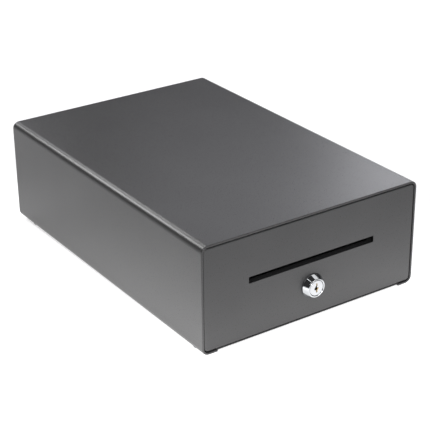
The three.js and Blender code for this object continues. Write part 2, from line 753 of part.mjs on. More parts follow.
placePair(cabinet, 'case_rail', makeCaseRail(), zinc);
placePair(cabinet, 'case_roller_pin', makeCaseRollerPin(), zinc);
placePair(drawer, 'drawer_rail', makeDrawerRail(), zinc);
placePair(drawer, 'drawer_roller_pin', makeDrawerRollerPin(), zinc);
const rollers = [['case_roller', CASE_ROLLER, cabinet], ['drawer_roller', DRAWER_ROLLER, drawer]];
for (const [name, { radius, x, y, z }, group] of rollers) {
  place(group, node(`${name}_right`, makeRoller(radius), nylon), x, y, z);
  place(group, node(`${name}_left`, makeRoller(radius), nylon), -x - ROLLER_WIDTH, y, z);
}

place(drawer, node('drawer_box', makeDrawerBox(), charcoal));
place(drawer, node('front_panel', makeFrontPanel(), charcoal));
place(drawer, node('media_deflector', makeDeflector(), charcoal));
place(drawer, node('striker', makeStriker(), zinc));
place(drawer, node('lock_body', makeLockBody(), chrome));
place(drawer, node('lock_nut', makeLockNut(), zinc));
place(drawer, node('lock_plug', makeLockPlug(), chrome));
place(drawer, node('lock_cam', makeLockCam(), zinc));
place(cabinet, node('lock_keeper', makeLockKeeper(), zinc));

place(drawer, node('till_tray', makeTillTray(), blackPlastic));
for (let i = 0; i < CUP.count; i += 1) {
  place(drawer, node(`coin_cup_${i + 1}`, makeCoinCup(), blackPlastic), (i - (CUP.count - 1) / 2) * CUP.pitch);
}
[-1, 1].forEach((side, i) => {
  place(drawer, node(`bill_divider_${i + 1}`, makeDivider(side * DIVIDER.x), blackPlastic));
});
place(drawer, node('clip_axle', rod('x', [AXLE.y, AXLE.z], AXLE.radius, -AXLE.half, AXLE.half), zinc));
[-1, 0, 1].forEach((side, i) => {
  const clip = node(`bill_clip_${i + 1}`, makeBillClip(), blackPlastic);
  place(drawer, clip, side * CLIP.pitch, AXLE.y, AXLE.z);
  clip.rotation.x = THREE.MathUtils.degToRad(CLIP.tilt);
});

place(cabinet, node('latch_bracket', makeLatchBracket(), zinc));
const lever = place(cabinet, node('latch_lever', makeLatchLever(), zinc), LEVER.x, LEVER.front, LEVER.z);
lever.rotation.y = THREE.MathUtils.degToRad(LEVER.release);
place(cabinet, node('latch_spring', makeLatchSpring(), zinc));
place(cabinet, node('solenoid_frame', makeSolenoidFrame(), zinc));
place(cabinet, node('solenoid_coil', makeSolenoidCoil(), copper));
place(cabinet, node('solenoid_plunger', makePlunger(), zinc));
place(cabinet, node('switch_body', makeSwitchBody(), blackPlastic));
place(cabinet, node('switch_lever', makeSwitchLever(), zinc));
place(cabinet, node('ejector_rod', makeEjectorRod(), zinc));
place(cabinet, node('ejector_spring', makeEjectorSpring(), zinc));
place(cabinet, node('modular_jack', makeJack(), blackPlastic));
place(cabinet, node('wire_harness', makeHarness(), wireSleeve));

export default cashDrawer;
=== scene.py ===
"""The looks of a compact steel cash drawer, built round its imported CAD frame.

The mesh kit works in millimetres in the frame's own axes; add_piece turns the result into metres.
"""
import math

import bmesh
import bpy
from mathutils import Matrix, Vector


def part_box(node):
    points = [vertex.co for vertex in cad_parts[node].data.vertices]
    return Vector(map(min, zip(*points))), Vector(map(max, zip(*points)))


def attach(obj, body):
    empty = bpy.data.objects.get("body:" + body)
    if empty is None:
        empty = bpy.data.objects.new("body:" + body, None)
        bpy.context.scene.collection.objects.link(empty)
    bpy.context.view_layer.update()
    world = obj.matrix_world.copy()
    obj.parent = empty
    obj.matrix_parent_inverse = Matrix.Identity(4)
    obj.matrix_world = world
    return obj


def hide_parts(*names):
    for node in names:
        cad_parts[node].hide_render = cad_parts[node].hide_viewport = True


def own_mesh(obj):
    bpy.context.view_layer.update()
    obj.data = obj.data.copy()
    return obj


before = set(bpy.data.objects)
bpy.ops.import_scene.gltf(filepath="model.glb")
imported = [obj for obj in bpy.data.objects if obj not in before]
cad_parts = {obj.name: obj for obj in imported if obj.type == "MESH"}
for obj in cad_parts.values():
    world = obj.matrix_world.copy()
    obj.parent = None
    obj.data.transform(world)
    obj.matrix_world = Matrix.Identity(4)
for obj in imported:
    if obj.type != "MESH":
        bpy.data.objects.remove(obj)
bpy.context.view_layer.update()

MM = 0.001
SHEET = 1.2  # thickness of the steel sheet
HALF = SHEET / 2
FINE_EDGE = 0.12  # rounding of the cut edges of sheet and fine metal parts


def span(node):
    """The three (low, high) ranges of a CAD node, in millimetres."""
    low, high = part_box(node)
    return [(a / MM, b / MM) for a, b in zip(low, high)]


CASE_X, CASE_Y, CASE_Z = span("case_shell")
PANEL_X, PANEL_Y, PANEL_Z = span("front_panel")
PAN_X, PAN_Y, PAN_Z = span("base_pan")
REAR_X, REAR_Y, REAR_Z = span("rear_panel")
BOX_X, BOX_Y, BOX_Z = span("drawer_box")
TILL_X, TILL_Y, TILL_Z = span("till_tray")
_, LOCK_Y, LOCK_Z = span("lock_body")
LOCK_HEIGHT = sum(LOCK_Z) / 2
JACK_X, JACK_Y, JACK_Z = span("modular_jack")


def direction(azimuth, elevation):
    """A unit vector; azimuth 0 points behind the case, 90 to its right and 180 in front."""
    turn, lift = math.radians(azimuth), math.radians(elevation)
    return Vector((math.sin(turn) * math.cos(lift), math.cos(turn) * math.cos(lift), math.sin(lift)))


# ---- Camera ----
CAMERA_AZIMUTH = 213.98
CAMERA_ELEVATION = 25.51
CAMERA_ROLL = -0.61
CAMERA_DISTANCE = 1.429
CAMERA_LENS = 112.3
CAMERA_TARGET = Vector((-0.0581, -0.1052, 0.1034))


def add_camera():
    """A long lens, seen from the front left and above."""
    camera = bpy.data.objects.new("camera", bpy.data.cameras.new("camera"))
    bpy.context.scene.collection.objects.link(camera)
    back = direction(CAMERA_AZIMUTH, CAMERA_ELEVATION)
    camera.location = CAMERA_TARGET + back * CAMERA_DISTANCE
    turn = (-back).to_track_quat("-Z", "Y").to_matrix()
    roll = Matrix.Rotation(math.radians(CAMERA_ROLL), 3, "Z")
    camera.rotation_euler = (turn @ roll).to_euler()
    camera.data.lens = CAMERA_LENS
    camera.data.sensor_width = 36
    camera.data.clip_start = 0.02
    camera.data.clip_end = 50
    bpy.context.scene.camera = camera


# ---- Materials ----
LOOK = "_look"  # ends the name of each material made here; the rest is the record's slot


class Shader:
    """A node material with a principled surface, and short calls for its texture nodes."""

    def __init__(self, name, roughness, metallic=0.0, **sockets):
        self.material = bpy.data.materials.new(name + LOOK)
        self.material.use_nodes = True
        self.tree = self.material.node_tree
        self.surface = self.tree.nodes["Principled BSDF"]
        self.surface.inputs["Roughness"].default_value = roughness
        self.surface.inputs["Metallic"].default_value = metallic
        for socket, value in sockets.items():
            self.surface.inputs[socket.replace("_", " ")].default_value = value
        self.place = self.node("ShaderNodeTexCoord").outputs["Object"]

    def node(self, kind, **settings):
        made = self.tree.nodes.new(kind)
        for key, value in settings.items():
            setattr(made, key, value)
        return made

    def link(self, source, target):
        self.tree.links.new(source, target)

    def stretched(self, scale):
        """The object's coordinates, scaled along each axis."""
        mapping = self.node("ShaderNodeMapping")
        mapping.inputs["Scale"].default_value = scale
        self.link(self.place, mapping.inputs["Vector"])
        return mapping.outputs["Vector"]

    def noise(self, scale, detail, roughness=0.5, along=None):
        made = self.node("ShaderNodeTexNoise")
        made.inputs["Scale"].default_value = scale
        made.inputs["Detail"].default_value = detail
        made.inputs["Roughness"].default_value = roughness
        self.link(along or self.place, made.inputs["Vector"])
        return made.outputs["Fac"]

    def spread(self, value, low, high, out_low=0.0, out_high=1.0):
        """Stretches the part of a value between low and high over a new range."""
        made = self.node("ShaderNodeMapRange")
        self.link(value, made.inputs["Value"])
        made.inputs["From Min"].default_value = low
        made.inputs["From Max"].default_value = high
        made.inputs["To Min"].default_value = out_low
        made.inputs["To Max"].default_value = out_high
        return made.outputs["Result"]

    def combined(self, operation, first, *others):
        """The product or the sum of several values."""
        for other in others:
            made = self.node("ShaderNodeMath", operation=operation)
            self.link(first, made.inputs[0])
            self.link(other, made.inputs[1])
            first = made.outputs["Value"]
        return first

    def vector_math(self, operation, first, second=(0, 0, 0), output="Vector"):
        made = self.node("ShaderNodeVectorMath", operation=operation)
        self.link(first, made.inputs[0])
        made.inputs[1].default_value = second
        return made.outputs[output]

    def blend(self, amount, first, second):
        """Mixes two colours, each a tuple or a socket."""
        made = self.node("ShaderNodeMix", data_type="RGBA")
        self.link(amount, made.inputs[0])
        for socket, color in ((made.inputs[6], first), (made.inputs[7], second)):
            if isinstance(color, tuple):
                socket.default_value = (*color, 1)
            else:
                self.link(color, socket)
        return made.outputs[2]

    def worn_edges(self, reach, patches):
        """0 on the flats of a solid; on its outward edges, within reach metres, the value of the patches."""
        made = self.node("ShaderNodeAmbientOcclusion", inside=True, samples=6)
        made.inputs["Distance"].default_value = reach
        return self.combined("MULTIPLY", self.spread(made.outputs["AO"], 0.45, 0.8, 1.0, 0.0), patches)

    def color(self, amount, first, second):
        self.link(self.blend(amount, first, second), self.surface.inputs["Base Color"])

    def roughness(self, value, *ranges):
        self.link(self.spread(value, *ranges), self.surface.inputs["Roughness"])

    def bump(self, height, distance, strength):
        """Adds a relief of that depth, in metres, on top of any already there."""
        made = self.node("ShaderNodeBump")
        made.inputs["Strength"].default_value = strength
        made.inputs["Distance"].default_value = distance
        self.link(height, made.inputs["Height"])
        before = self.surface.inputs["Normal"].links
        if before:
            self.link(before[0].from_socket, made.inputs["Normal"])
        self.link(made.outputs["Normal"], self.surface.inputs["Normal"])


def powder_coat():
    """Charcoal satin powder coat: a fine pebbled grain, faint mottling and slightly rubbed edges."""
    coat = Shader("charcoal_coat", 0.33)
    mottle = coat.spread(coat.noise(14, 4), 0.35, 0.65)
    base = coat.blend(mottle, (0.038, 0.0375, 0.039), (0.043, 0.0425, 0.044))
    fleck = coat.spread(coat.noise(2600, 2), 0.62, 0.78)
    flecked = coat.blend(fleck, base, (0.074, 0.074, 0.076))
    patches = coat.spread(coat.noise(90, 5, 0.7), 0.5, 0.75, 0.0, 0.35)
    rubbed = coat.worn_edges(0.0007, patches)
    coat.color(rubbed, flecked, (0.115, 0.114, 0.117))
    coat.roughness(coat.noise(1100, 3), 0.3, 0.7, 0.26, 0.40)
    coat.bump(coat.noise(900, 2), 0.00004, 0.5)
    coat.bump(coat.noise(2400, 2), 0.00002, 0.4)
    return coat.material


def zinc_sheet():
    """Zinc-plated sheet steel: faint rolling streaks, cloudy sheen and small scratches."""
    zinc = Shader("zinc_steel", 0.34, metallic=1.0)
    cloud = zinc.spread(zinc.noise(26, 5), 0.3, 0.7)
    streak = zinc.noise(1, 4, along=zinc.stretched((900, 18, 900)))
    tone = zinc.blend(cloud, (0.50, 0.51, 0.52), (0.60, 0.61, 0.63))
    zinc.color(zinc.spread(streak, 0.45, 0.7, 0.0, 0.5), tone, (0.43, 0.44, 0.45))
    zinc.roughness(streak, 0.3, 0.7, 0.27, 0.44)
    zinc.bump(streak, 0.00001, 0.5)
    return zinc.material


def polished_chrome():
    """Chrome plating with a little haze and hair scratches."""
    chrome = Shader("chrome", 0.07, metallic=1.0)
    haze = chrome.noise(60, 5)
    chrome.color(chrome.spread(haze, 0.4, 0.7), (0.50, 0.51, 0.525), (0.44, 0.45, 0.465))
    scratch = chrome.noise(1, 3, along=chrome.stretched((2400, 900, 300)))
    chrome.roughness(scratch, 0.5, 0.8, 0.06, 0.16)
    chrome.bump(scratch, 0.000004, 0.3)
    return chrome.material


def turned_steel(name, color, roughness):
    """Turned or drawn bare steel with fine marks."""
    steel = Shader(name, roughness, metallic=1.0)
    marks = steel.noise(700, 4)
    steel.color(steel.spread(marks, 0.3, 0.7), color, tuple(0.72 * c for c in color))
    steel.roughness(marks, 0.3, 0.7, roughness - 0.06, roughness + 0.1)
    steel.bump(marks, 0.00001, 0.4)
    return steel.material


def moulded_plastic(name, color, roughness, grain, depth):
    """Moulded plastic with a fine spark-eroded grain and lighter scuffs on its edges."""
    plastic = Shader(name, roughness)
    texture = plastic.noise(grain, 3, 0.6)
    cloud = plastic.spread(plastic.noise(20, 3), 0.3, 0.7)
    tone = plastic.blend(cloud, color, tuple(1.18 * c for c in color))
    patches = plastic.spread(plastic.noise(160, 4), 0.5, 0.8, 0.0, 0.5)
    scuff = plastic.worn_edges(0.0009, patches)
    worn = tuple(min(0.9, 1.5 * c + 0.03) for c in color)
    plastic.color(scuff, tone, worn)
    plastic.roughness(texture, 0.3, 0.7, roughness - 0.06, roughness + 0.08)
    plastic.bump(texture, depth, 0.6)
    return plastic.material


def dusty_rubber():
    """Black rubber with a dry bloom in its low spots."""
    rubber = Shader("rubber", 0.8)
    bloom = rubber.spread(rubber.noise(240, 5, 0.7), 0.45, 0.75)
    rubber.color(bloom, (0.014, 0.014, 0.015), (0.05, 0.049, 0.047))
    rubber.roughness(bloom, 0, 1, 0.7, 0.9)
    rubber.bump(rubber.noise(1500, 3), 0.00005, 0.6)
    return rubber.material


def enamelled_copper():
    """Copper wire under amber enamel."""
    copper = Shader("copper", 0.28, metallic=1.0, Coat_Weight=0.6, Coat_Roughness=0.15)
    tone = copper.spread(copper.noise(300, 4), 0.35, 0.65)
    copper.color(tone, (0.55, 0.20, 0.07), (0.42, 0.13, 0.045))
    copper.roughness(copper.noise(900, 2), 0.3, 0.7, 0.22, 0.38)
    copper.bump(copper.noise(1200, 2), 0.00001, 0.4)
    return copper.material


COAT = powder_coat()
ZINC = zinc_sheet()
CHROME = polished_chrome()
BARE_STEEL = turned_steel("screw_steel", (0.46, 0.46, 0.45), 0.3)
SPRING_STEEL = turned_steel("spring_steel", (0.36, 0.36, 0.36), 0.34)
BRASS = turned_steel("brass", (0.72, 0.5, 0.2), 0.28)
ABS = moulded_plastic("black_plastic", (0.024, 0.0245, 0.026), 0.46, 1300, 0.00004)
NYLON = moulded_plastic("nylon", (0.66, 0.64, 0.57), 0.42, 700, 0.00002)
SLEEVE = moulded_plastic("wire_sleeve", (0.022, 0.022, 0.024), 0.4, 500, 0.00002)
RUBBER = dusty_rubber()
COPPER = enamelled_copper()


# ---- Mesh kit ----
def along(axis, u, v, w):
    """The point with coordinates u and v in the plane across an axis, and w along it."""
    return {"x": (w, u, v), "y": (u, w, v), "z": (u, v, w)}[axis]


def arc(cu, cv, radius, start, end, steps):
    """Points on a circle from one angle to another, in degrees."""
    turns = [math.radians(start + (end - start) * i / steps) for i in range(steps + 1)]
    return [(cu + radius * math.cos(t), cv + radius * math.sin(t)) for t in turns]


def outline(u, v, radius, steps=8):
    """A rounded rectangle's four corner arcs, from the bottom right, as (point, inward normal) pairs."""
    (u0, u1), (v0, v1) = (u[0] + radius, u[1] - radius), (v[0] + radius, v[1] - radius)
    path = []
    for (cu, cv), start in (((u1, v0), -90), ((u1, v1), 0), ((u0, v1), 90), ((u0, v0), 180)):
        for pu, pv in arc(cu, cv, radius, start, start + 90, steps):
            path.append(((pu, pv), ((cu - pu) / radius, (cv - pv) / radius)))
    return path


def rounded_rect(u, v, radius, steps=8):
    """An anticlockwise outline with round corners."""
    return [point for point, _ in outline(u, v, radius, steps)]


def bridge(bm, rows, closed=False, leave_out=lambda i, j, k: False):
    """Joins neighbouring loops of vertices with faces; leave_out picks faces by row and by step."""
    for i, (a, b) in enumerate(zip(rows, rows[1:] + rows[:1] if closed else rows[1:])):
        for j, k in enumerate([*range(1, len(a)), 0]):
            if not leave_out(i, j, k):
                bm.faces.new((a[j], a[k], b[k], b[j]))


def prism(points, axis, low, high):
    """An outline, extruded along an axis."""
    bm = bmesh.new()
    ends = [[bm.verts.new(along(axis, u, v, w)) for u, v in points] for w in (low, high)]
    bm.faces.new(ends[0])
    bm.faces.new(ends[1][::-1])
    bridge(bm, ends[::-1])
    return bm


def block(x, y, z):
    return prism([(x[0], y[0]), (x[1], y[0]), (x[1], y[1]), (x[0], y[1])], "z", *z)


def both_ends(end, low, high):
    """A profile with the same end, given as (radius, depth) points, at its low and its high side."""
    return [(r, low + d) for r, d in end] + [(r, high - d) for r, d in end[::-1]]


def rod(axis, u, v, radius, low, high, steps=32):
    return prism(arc(u, v, radius, 0, 360, steps)[:-1], axis, low, high)


def lathe(profile, axis, u, v, steps=48):
    """A closed profile of (radius, along) points, turned about an axis through (u, v)."""
    bm = bmesh.new()
    rows = []
    for i in range(steps):
        turn = 2 * math.pi * i / steps
        rows.append([
            bm.verts.new(along(axis, u + r * math.cos(turn), v + r * math.sin(turn), w)) for r, w in profile
        ])
    bridge(bm, rows, True, lambda i, j, k: profile[j][0] <= 0 and profile[k][0] <= 0)
    bmesh.ops.remove_doubles(bm, verts=bm.verts, dist=1e-4)
    return bm


def headings(points):
    """Each point of a line, with the line's direction there."""
    around = [points[0], *points, points[-1]]
    return [(here, (after - before).normalized()) for before, here, after in zip(around, points, around[2:])]


def tube(points, radius, sides=10):
    """A round wire through a list of points, with its ends closed."""
    bm = bmesh.new()
    points = [Vector(p) for p in points]
    ahead = (points[1] - points[0]).normalized()
    side = ahead.orthogonal().normalized()
    rows = []
    for point, new_ahead in headings(points):
        side = ahead.rotation_difference(new_ahead) @ side
        ahead = new_ahead
        other = ahead.cross(side)
        rows.append([
            bm.verts.new(point + radius * (side * math.cos(t) + other * math.sin(t)))
            for t in (2 * math.pi * k / sides for k in range(sides))
        ])
    bridge(bm, rows)
    bm.faces.new(rows[0])
    bm.faces.new(rows[-1][::-1])
    return bm


def helix(radius, turns, length, steps=20, dead=1.0):
    """Points on a coil along +Z whose first and last turns lie flat."""
    points = []
    for i in range(int(turns * steps) + 1):
        turn = i / steps
        share = min(max((turn - dead) / (turns - 2 * dead), 0), 1)
        angle = 2 * math.pi * turn
        points.append((radius * math.cos(angle), radius * math.sin(angle), length * share))
    return points


def smooth_path(points, steps=8):
    """A Catmull-Rom curve through given points."""
    points = [Vector(p) for p in points]
    padded = [2 * points[0] - points[1], *points, 2 * points[-1] - points[-2]]
    found = []
    for a, b, c, d in zip(padded, padded[1:], padded[2:], padded[3:]):
        for i in range(steps):
            t = i / steps
            bend = (2 * a - 5 * b + 4 * c - d) * t * t + (3 * b - a - 3 * c + d) * t ** 3
            found.append(0.5 * (2 * b + (c - a) * t + bend))
    return [*found, points[-1]]


def sweep(path, section, axis, closed=False, gap=None):
    """Sweeps a closed section of (inset, along) points round an outline of (point, inward normal) pairs.

    The faces at the section's step gap are left out. Returns the mesh and its rows of vertices.
    """
    bm = bmesh.new()
    rows = []
    for (u, v), (nu, nv) in path:
        rows.append([bm.verts.new(along(axis, u + nu * inset, v + nv * inset, w)) for inset, w in section])
    bridge(bm, rows, closed, lambda i, j, k: j == gap)
    if not closed:
        bm.faces.new(rows[0])
        bm.faces.new(rows[-1][::-1])
    return bm, rows


def folded(corners, axis, run, thickness=SHEET, radius=1.2, steps=6):
    """A sheet bent round the corners of its centre line and extruded along an axis."""
    corners = [Vector(corner) for corner in corners]
    centre = corners[:1]
    for before, here, after in zip(corners, corners[1:], corners[2:]):
        back, on = (before - here).normalized(), (after - here).normalized()
        half = back.angle(on) / 2
        middle = here + (back + on).normalized() * (radius / math.sin(half))
        first, last = [here + leg * (radius / math.tan(half)) - middle for leg in (back, on)]
        swing = first.angle_signed(last)
        centre += [middle + Matrix.Rotation(-swing * k / steps, 2) @ first for k in range(steps + 1)]
    centre.append(corners[-1])
    left, right = [], []
    for here, ahead in headings(centre):
        normal = Vector((-ahead.y, ahead.x)) * thickness / 2
        left.append(tuple(here + normal))
        right.append(tuple(here - normal))
    return prism(right + left[::-1], axis, *run)


def joined(*meshes):
    """Several meshes as one, without merging them."""
    whole = bmesh.new()
    for bm in meshes:
        mesh = bpy.data.meshes.new("part")
        bm.to_mesh(mesh)
        bm.free()
        whole.from_mesh(mesh)
        bpy.data.meshes.remove(mesh)
    return whole


def boolean(base, tool, operation):
    """The exact union or difference of two closed meshes."""
    objects = []
    for bm in (base, tool):
        bmesh.ops.recalc_face_normals(bm, faces=bm.faces)
        mesh = bpy.data.meshes.new("operand")
        bm.to_mesh(mesh)
        bm.free()
        obj = bpy.data.objects.new("operand", mesh)
        bpy.context.scene.collection.objects.link(obj)
        objects.append(obj)
    modifier = objects[0].modifiers.new("boolean", "BOOLEAN")
    modifier.operation = operation
    modifier.solver = "EXACT"
    modifier.use_self = True
    modifier.object = objects[1]
    graph = bpy.context.evaluated_depsgraph_get()
    result = bmesh.new()
    result.from_object(objects[0], graph)
    for obj in objects:
        mesh = obj.data
        bpy.data.objects.remove(obj)
        bpy.data.meshes.remove(mesh)
    return result


def cut(base, *tools):
    return boolean(base, joined(*tools), "DIFFERENCE")


def unite(base, *tools):
    for tool in tools:
        base = boolean(base, tool, "UNION")
    return base


def mirror_x(bm):
    """The same mesh on the other side of the x = 0 plane."""
    bmesh.ops.scale(bm, vec=(-1, 1, 1), verts=bm.verts)
    bmesh.ops.reverse_faces(bm, faces=bm.faces)
    return bm


def moved(bm, vector):
    bmesh.ops.translate(bm, vec=vector, verts=bm.verts)
    return bm


def turned(bm, degrees, axis, centre=(0, 0, 0)):
    bmesh.ops.rotate(bm, cent=centre, matrix=Matrix.Rotation(math.radians(degrees), 3, axis), verts=bm.verts)
    return bm


def from_node(node):
    """A copy of a CAD node's mesh with its flat faces joined up, in millimetres."""
    bm = bmesh.new()
    bm.from_mesh(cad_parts[node].data)
    bmesh.ops.scale(bm, vec=(1 / MM,) * 3, verts=bm.verts)
    bmesh.ops.remove_doubles(bm, verts=bm.verts, dist=1e-3)
    return bm


def round_edges(bm, width, segments=2, angle=28):
    """Rounds every edge that turns by more than an angle, after joining up the flat faces."""
    bmesh.ops.recalc_face_normals(bm, faces=bm.faces)
    bmesh.ops.dissolve_limit(
        bm, angle_limit=math.radians(0.5), verts=bm.verts, edges=bm.edges, use_dissolve_boundaries=False
    )
    sharp = [e for e in bm.edges if len(e.link_faces) == 2 and e.calc_face_angle() > math.radians(angle)]
    settings = {"profile": 0.5, "affect": "EDGES", "clamp_overlap": True, "miter_outer": "SHARP"}
    bmesh.ops.bevel(bm, geom=sharp, offset=width, segments=segments, **settings)
    return bm


def add_piece(name, bm, material, body, nodes=(), edge=FINE_EDGE, segments=2):
    """Rounds the edges, scales to metres and puts the piece on its body in place of its CAD nodes."""
    if edge:
        round_edges(bm, edge, segments)
    bmesh.ops.recalc_face_normals(bm, faces=bm.faces)
    bmesh.ops.scale(bm, vec=(MM,) * 3, verts=bm.verts)
    for face in bm.faces:
        face.smooth = True
    for line in bm.edges:
        line.smooth = len(line.link_faces) == 2 and line.calc_face_angle() < math.radians(42)
    mesh = bpy.data.meshes.new(name)
    bm.to_mesh(mesh)
    bm.free()
    mesh.materials.append(material)
    piece = bpy.data.objects.new(name, mesh)
    bpy.context.scene.collection.objects.link(piece)
    weighted = piece.modifiers.new("weighted_normal", "WEIGHTED_NORMAL")
    weighted.keep_sharp = True
    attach(piece, body)
    if nodes:
        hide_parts(*nodes)
    return piece


def stand_in(node, how, bm, material, body, edge=FINE_EDGE, segments=2):
    """A piece that takes a CAD node's place, named after it and after the way it is made."""
    return add_piece(f"{node}_{how}", bm, material, body, [node], edge=edge, segments=segments)


# ---- Cabinet ----
CORNER = 8  # radius of the case's long bends
HEM = 12  # depth of the rolled front edge
NOSE = 0.7  # rounding of that edge
FLANGE = 18.6  # width of the case's turned-in bottom edges
LIP = 14  # width of the turned-in lips behind
LIP_SPAN = (14, 118)  # how high the side lips run
TOP_LIP = 128  # half the length of the top one
TONGUE = 120  # half the width of the base pan's tongue
HOLE = 2.2  # radius of the screw holes
STEM_HOLE = 3.1  # radius of the feet's holes
HEM_DROP = 0.7  # how far the base pan's front hem hangs below its floor


def node_centre(node):
    """The middle of a CAD node's box, in millimetres."""
    return [sum(side) / 2 for side in span(node)]


FEET = [node_centre(f"foot_{i}") for i in range(1, 5)]
BASE_SCREWS = [node_centre(f"base_screw_{i}") for i in range(1, 5)]
REAR_SCREWS = [node_centre(f"rear_screw_{i}") for i in range(1, 5)]


def base_holes():
    sizes = [(place, STEM_HOLE) for place in FEET] + [(place, HOLE) for place in BASE_SCREWS]
    return [rod("z", x, y, radius, -1, 12, 24) for (x, y, _), radius in sizes]


def rear_holes():
    return [rod("y", x, z, HOLE, REAR_Y[1] - 8, CASE_Y[1] + 2, 24) for x, _, z in REAR_SCREWS]


def rounding_tool(run, corner, radius, up):
    """A bar along X that rounds a back edge at corner (y, z); up is 1 for the top and -1 for the bottom."""
    y, z = corner
    middle = (y - radius, z - up * radius)
    points = arc(*middle, radius, 0, 90 * up, 6)
    points += [(middle[0], z + 2 * up), (y + 2, z + 2 * up), (y + 2, middle[1])]
    return prism(points, "x", *run)


def make_case_shell():
    """The wrap of top, sides and bottom flanges, with a rolled hem in front and turned-in lips behind."""
    front, back = CASE_Y
    edge = CASE_X[1] - FLANGE
    path = [((edge, CASE_Z[0]), (0, 1)), *outline(CASE_X, CASE_Z, CORNER, 10), ((-edge, CASE_Z[0]), (0, 1))]
    inner = SHEET + 0.25
    section = [
        *arc(NOSE, front + NOSE, NOSE, 180, 270, 5), *arc(2 * SHEET - NOSE, front + NOSE, NOSE, 270, 360, 5),
        (2 * SHEET, front + HEM), (inner, front + HEM), (inner, front + HEM - 3), (SHEET, front + HEM - 3),
        (SHEET, back), *arc(1.1, back - 1.1, 1.1, 90, 180, 5),
    ]
    shell, _ = sweep(path, section, "y")
    lip_y = (back - SHEET, back)
    top_lip = block((-TOP_LIP, TOP_LIP), lip_y, (CASE_Z[1] - LIP, CASE_Z[1] - HALF))
    right_lip = block((CASE_X[1] - LIP, CASE_X[1] - HALF), lip_y, LIP_SPAN)
    left_lip = block((CASE_X[0] + HALF, CASE_X[0] + LIP), lip_y, LIP_SPAN)
    shell = unite(shell, top_lip, right_lip, left_lip)
    stand_in("case_shell", "folded", cut(shell, *base_holes(), *rear_holes()), COAT, "cabinet")


def make_base_pan():
    """The inner pan, with a hemmed tongue that shows between the bottom flanges in front."""
    inset = CASE_X[1] - PAN_X[1]
    low = PAN_Z[0] + HEM_DROP
    corners = outline(PAN_X, (low, CASE_Z[1] - inset), CORNER - inset)
    quarter = len(corners) // 4
    left_top, right_top = (PAN_X[0], PAN_Z[1]), (PAN_X[1], PAN_Z[1])
    path = [(left_top, (1, 0)), *corners[-quarter:], *corners[:quarter], (right_top, (-1, 0))]
    front = PANEL_Y[1] + 0.5
    section = [(0, front), (SHEET, front), (SHEET, PAN_Y[1]), (0, PAN_Y[1])]
    pan, _ = sweep(path, section, "y")
    tip = PAN_Y[0]
    fold = (HEM_DROP + SHEET) / 2
    tongue = [
        (front + 1, low), (front + 1, low + SHEET), *arc(tip + fold, PAN_Z[0] + fold, fold, 90, 270, 8),
        (tip + 6.5, PAN_Z[0]), (tip + 6.5, low),
    ]
    pan = unite(pan, prism(tongue, "x", -TONGUE, TONGUE))
    stand_in("base_pan", "folded", cut(pan, *base_holes()), COAT, "cabinet")


def make_rear_panel():
    """The back plate with its flanges, the jack's hole and its screw holes."""
    back = REAR_Y[1]
    plate = prism(rounded_rect(REAR_X, REAR_Z, 5), "y", back - SHEET, back)
    low, high = REAR_Z
    top_run, foot_run = (-120, 120), (-110, 110)
    top = [(back - 12, high - HALF), (back - HALF, high - HALF), (back - HALF, high - 8)]
    foot = [(back - 10, low + HALF), (back - HALF, low + HALF), (back - HALF, low + 8)]
    flanges = [(top, top_run), (foot, foot_run)]
    plate = unite(plate, *[folded(line, "x", run) for line, run in flanges])
    bends = [rounding_tool(top_run, (back, high), 1.8, 1), rounding_tool(foot_run, (back, low), 1.8, -1)]
    jack_x, jack_z = [(low - 0.3, high + 0.3) for low, high in (JACK_X, JACK_Z)]
    hole = block(jack_x, (back - 4, back + 2), jack_z)
    plate = cut(plate, *bends, hole, *rear_holes())
    stand_in("rear_panel", "pressed", plate, COAT, "cabinet")


def make_feet():
    """Moulded rubber feet with a soft edge, three grooves underneath and a barbed stem."""
    sole = [(0, 0.4), (1.6, 0.4), (2.0, 0), (3.2, 0), (3.6, 0.5), (4.0, 0.5), (4.4, 0), (6.2, 0)]
    side = [*arc(6.2, 1.2, 1.2, -90, 0, 5), (7.15, 2.8), (7.0, 3.4), (6.7, 3.7)]
    stem = [(2.8, 3.7), (2.8, 7.0), (3.9, 7.4), (3.7, 8.0), (2.2, 9.4), (0, 9.5)]
    for i, (x, y, _) in enumerate(FEET, 1):
        foot = lathe(sole + side + stem, "z", x, y)
        stand_in(f"foot_{i}", "moulded", foot, RUBBER, "cabinet", edge=0)


def screw_mesh():
    """A pan-head screw along +Z: its head's underside is at 0.3, its shank below."""
    thread = []
    for i in range(9):
        thread += [(1.8, -7.4 + 0.8 * i), (1.5, -7.0 + 0.8 * i)]
    head = [(1.8, 0.3), (3.35, 0.3), *arc(3.1, 0.85, 0.5, -30, 60, 5), *arc(0, -3.4, 5.58, 60, 90, 6)]
    body = lathe([(0, -8), (1.3, -8), *thread, *head], "z", 0, 0, 40)
    long, thin, deep = (-2, 2), (-0.38, 0.38), (1.3, 3)
    return cut(body, block(long, thin, deep), block(thin, long, deep))


def make_screws():
    """The screws stand in the case's bottom and back."""
    base = [(x, y, CASE_Z[0]) for x, y, _ in BASE_SCREWS]
    rear = [(x, CASE_Y[1], z) for x, _, z in REAR_SCREWS]
    for kind, places, swing in (("base", base, 180), ("rear", rear, -90)):
        for i, place in enumerate(places, 1):
            screw = moved(turned(screw_mesh(), swing, "X"), place)
            stand_in(f"{kind}_screw_{i}", "panhead", screw, BARE_STEEL, "cabinet", edge=0.06, segments=1)


# ---- Drawer ----
PANEL_SLACK = 0.5  # how much closer to the case the pressed face comes than its plain CAD plate
SLOT_X = (-82, 82)  # the slip slot
SLOT_Z = (70.1, 77.5)
INSIDE_SLOT = (-84, 84), (66.1, 82)  # the wider opening in the drawer's tray behind it
LEDGE_X, LEDGE_Z = 114.8, 31.1  # the inner edge of the till's ledges, and their middle height
LOCK_HOLE = 9.7  # radius of the hole for the barrel


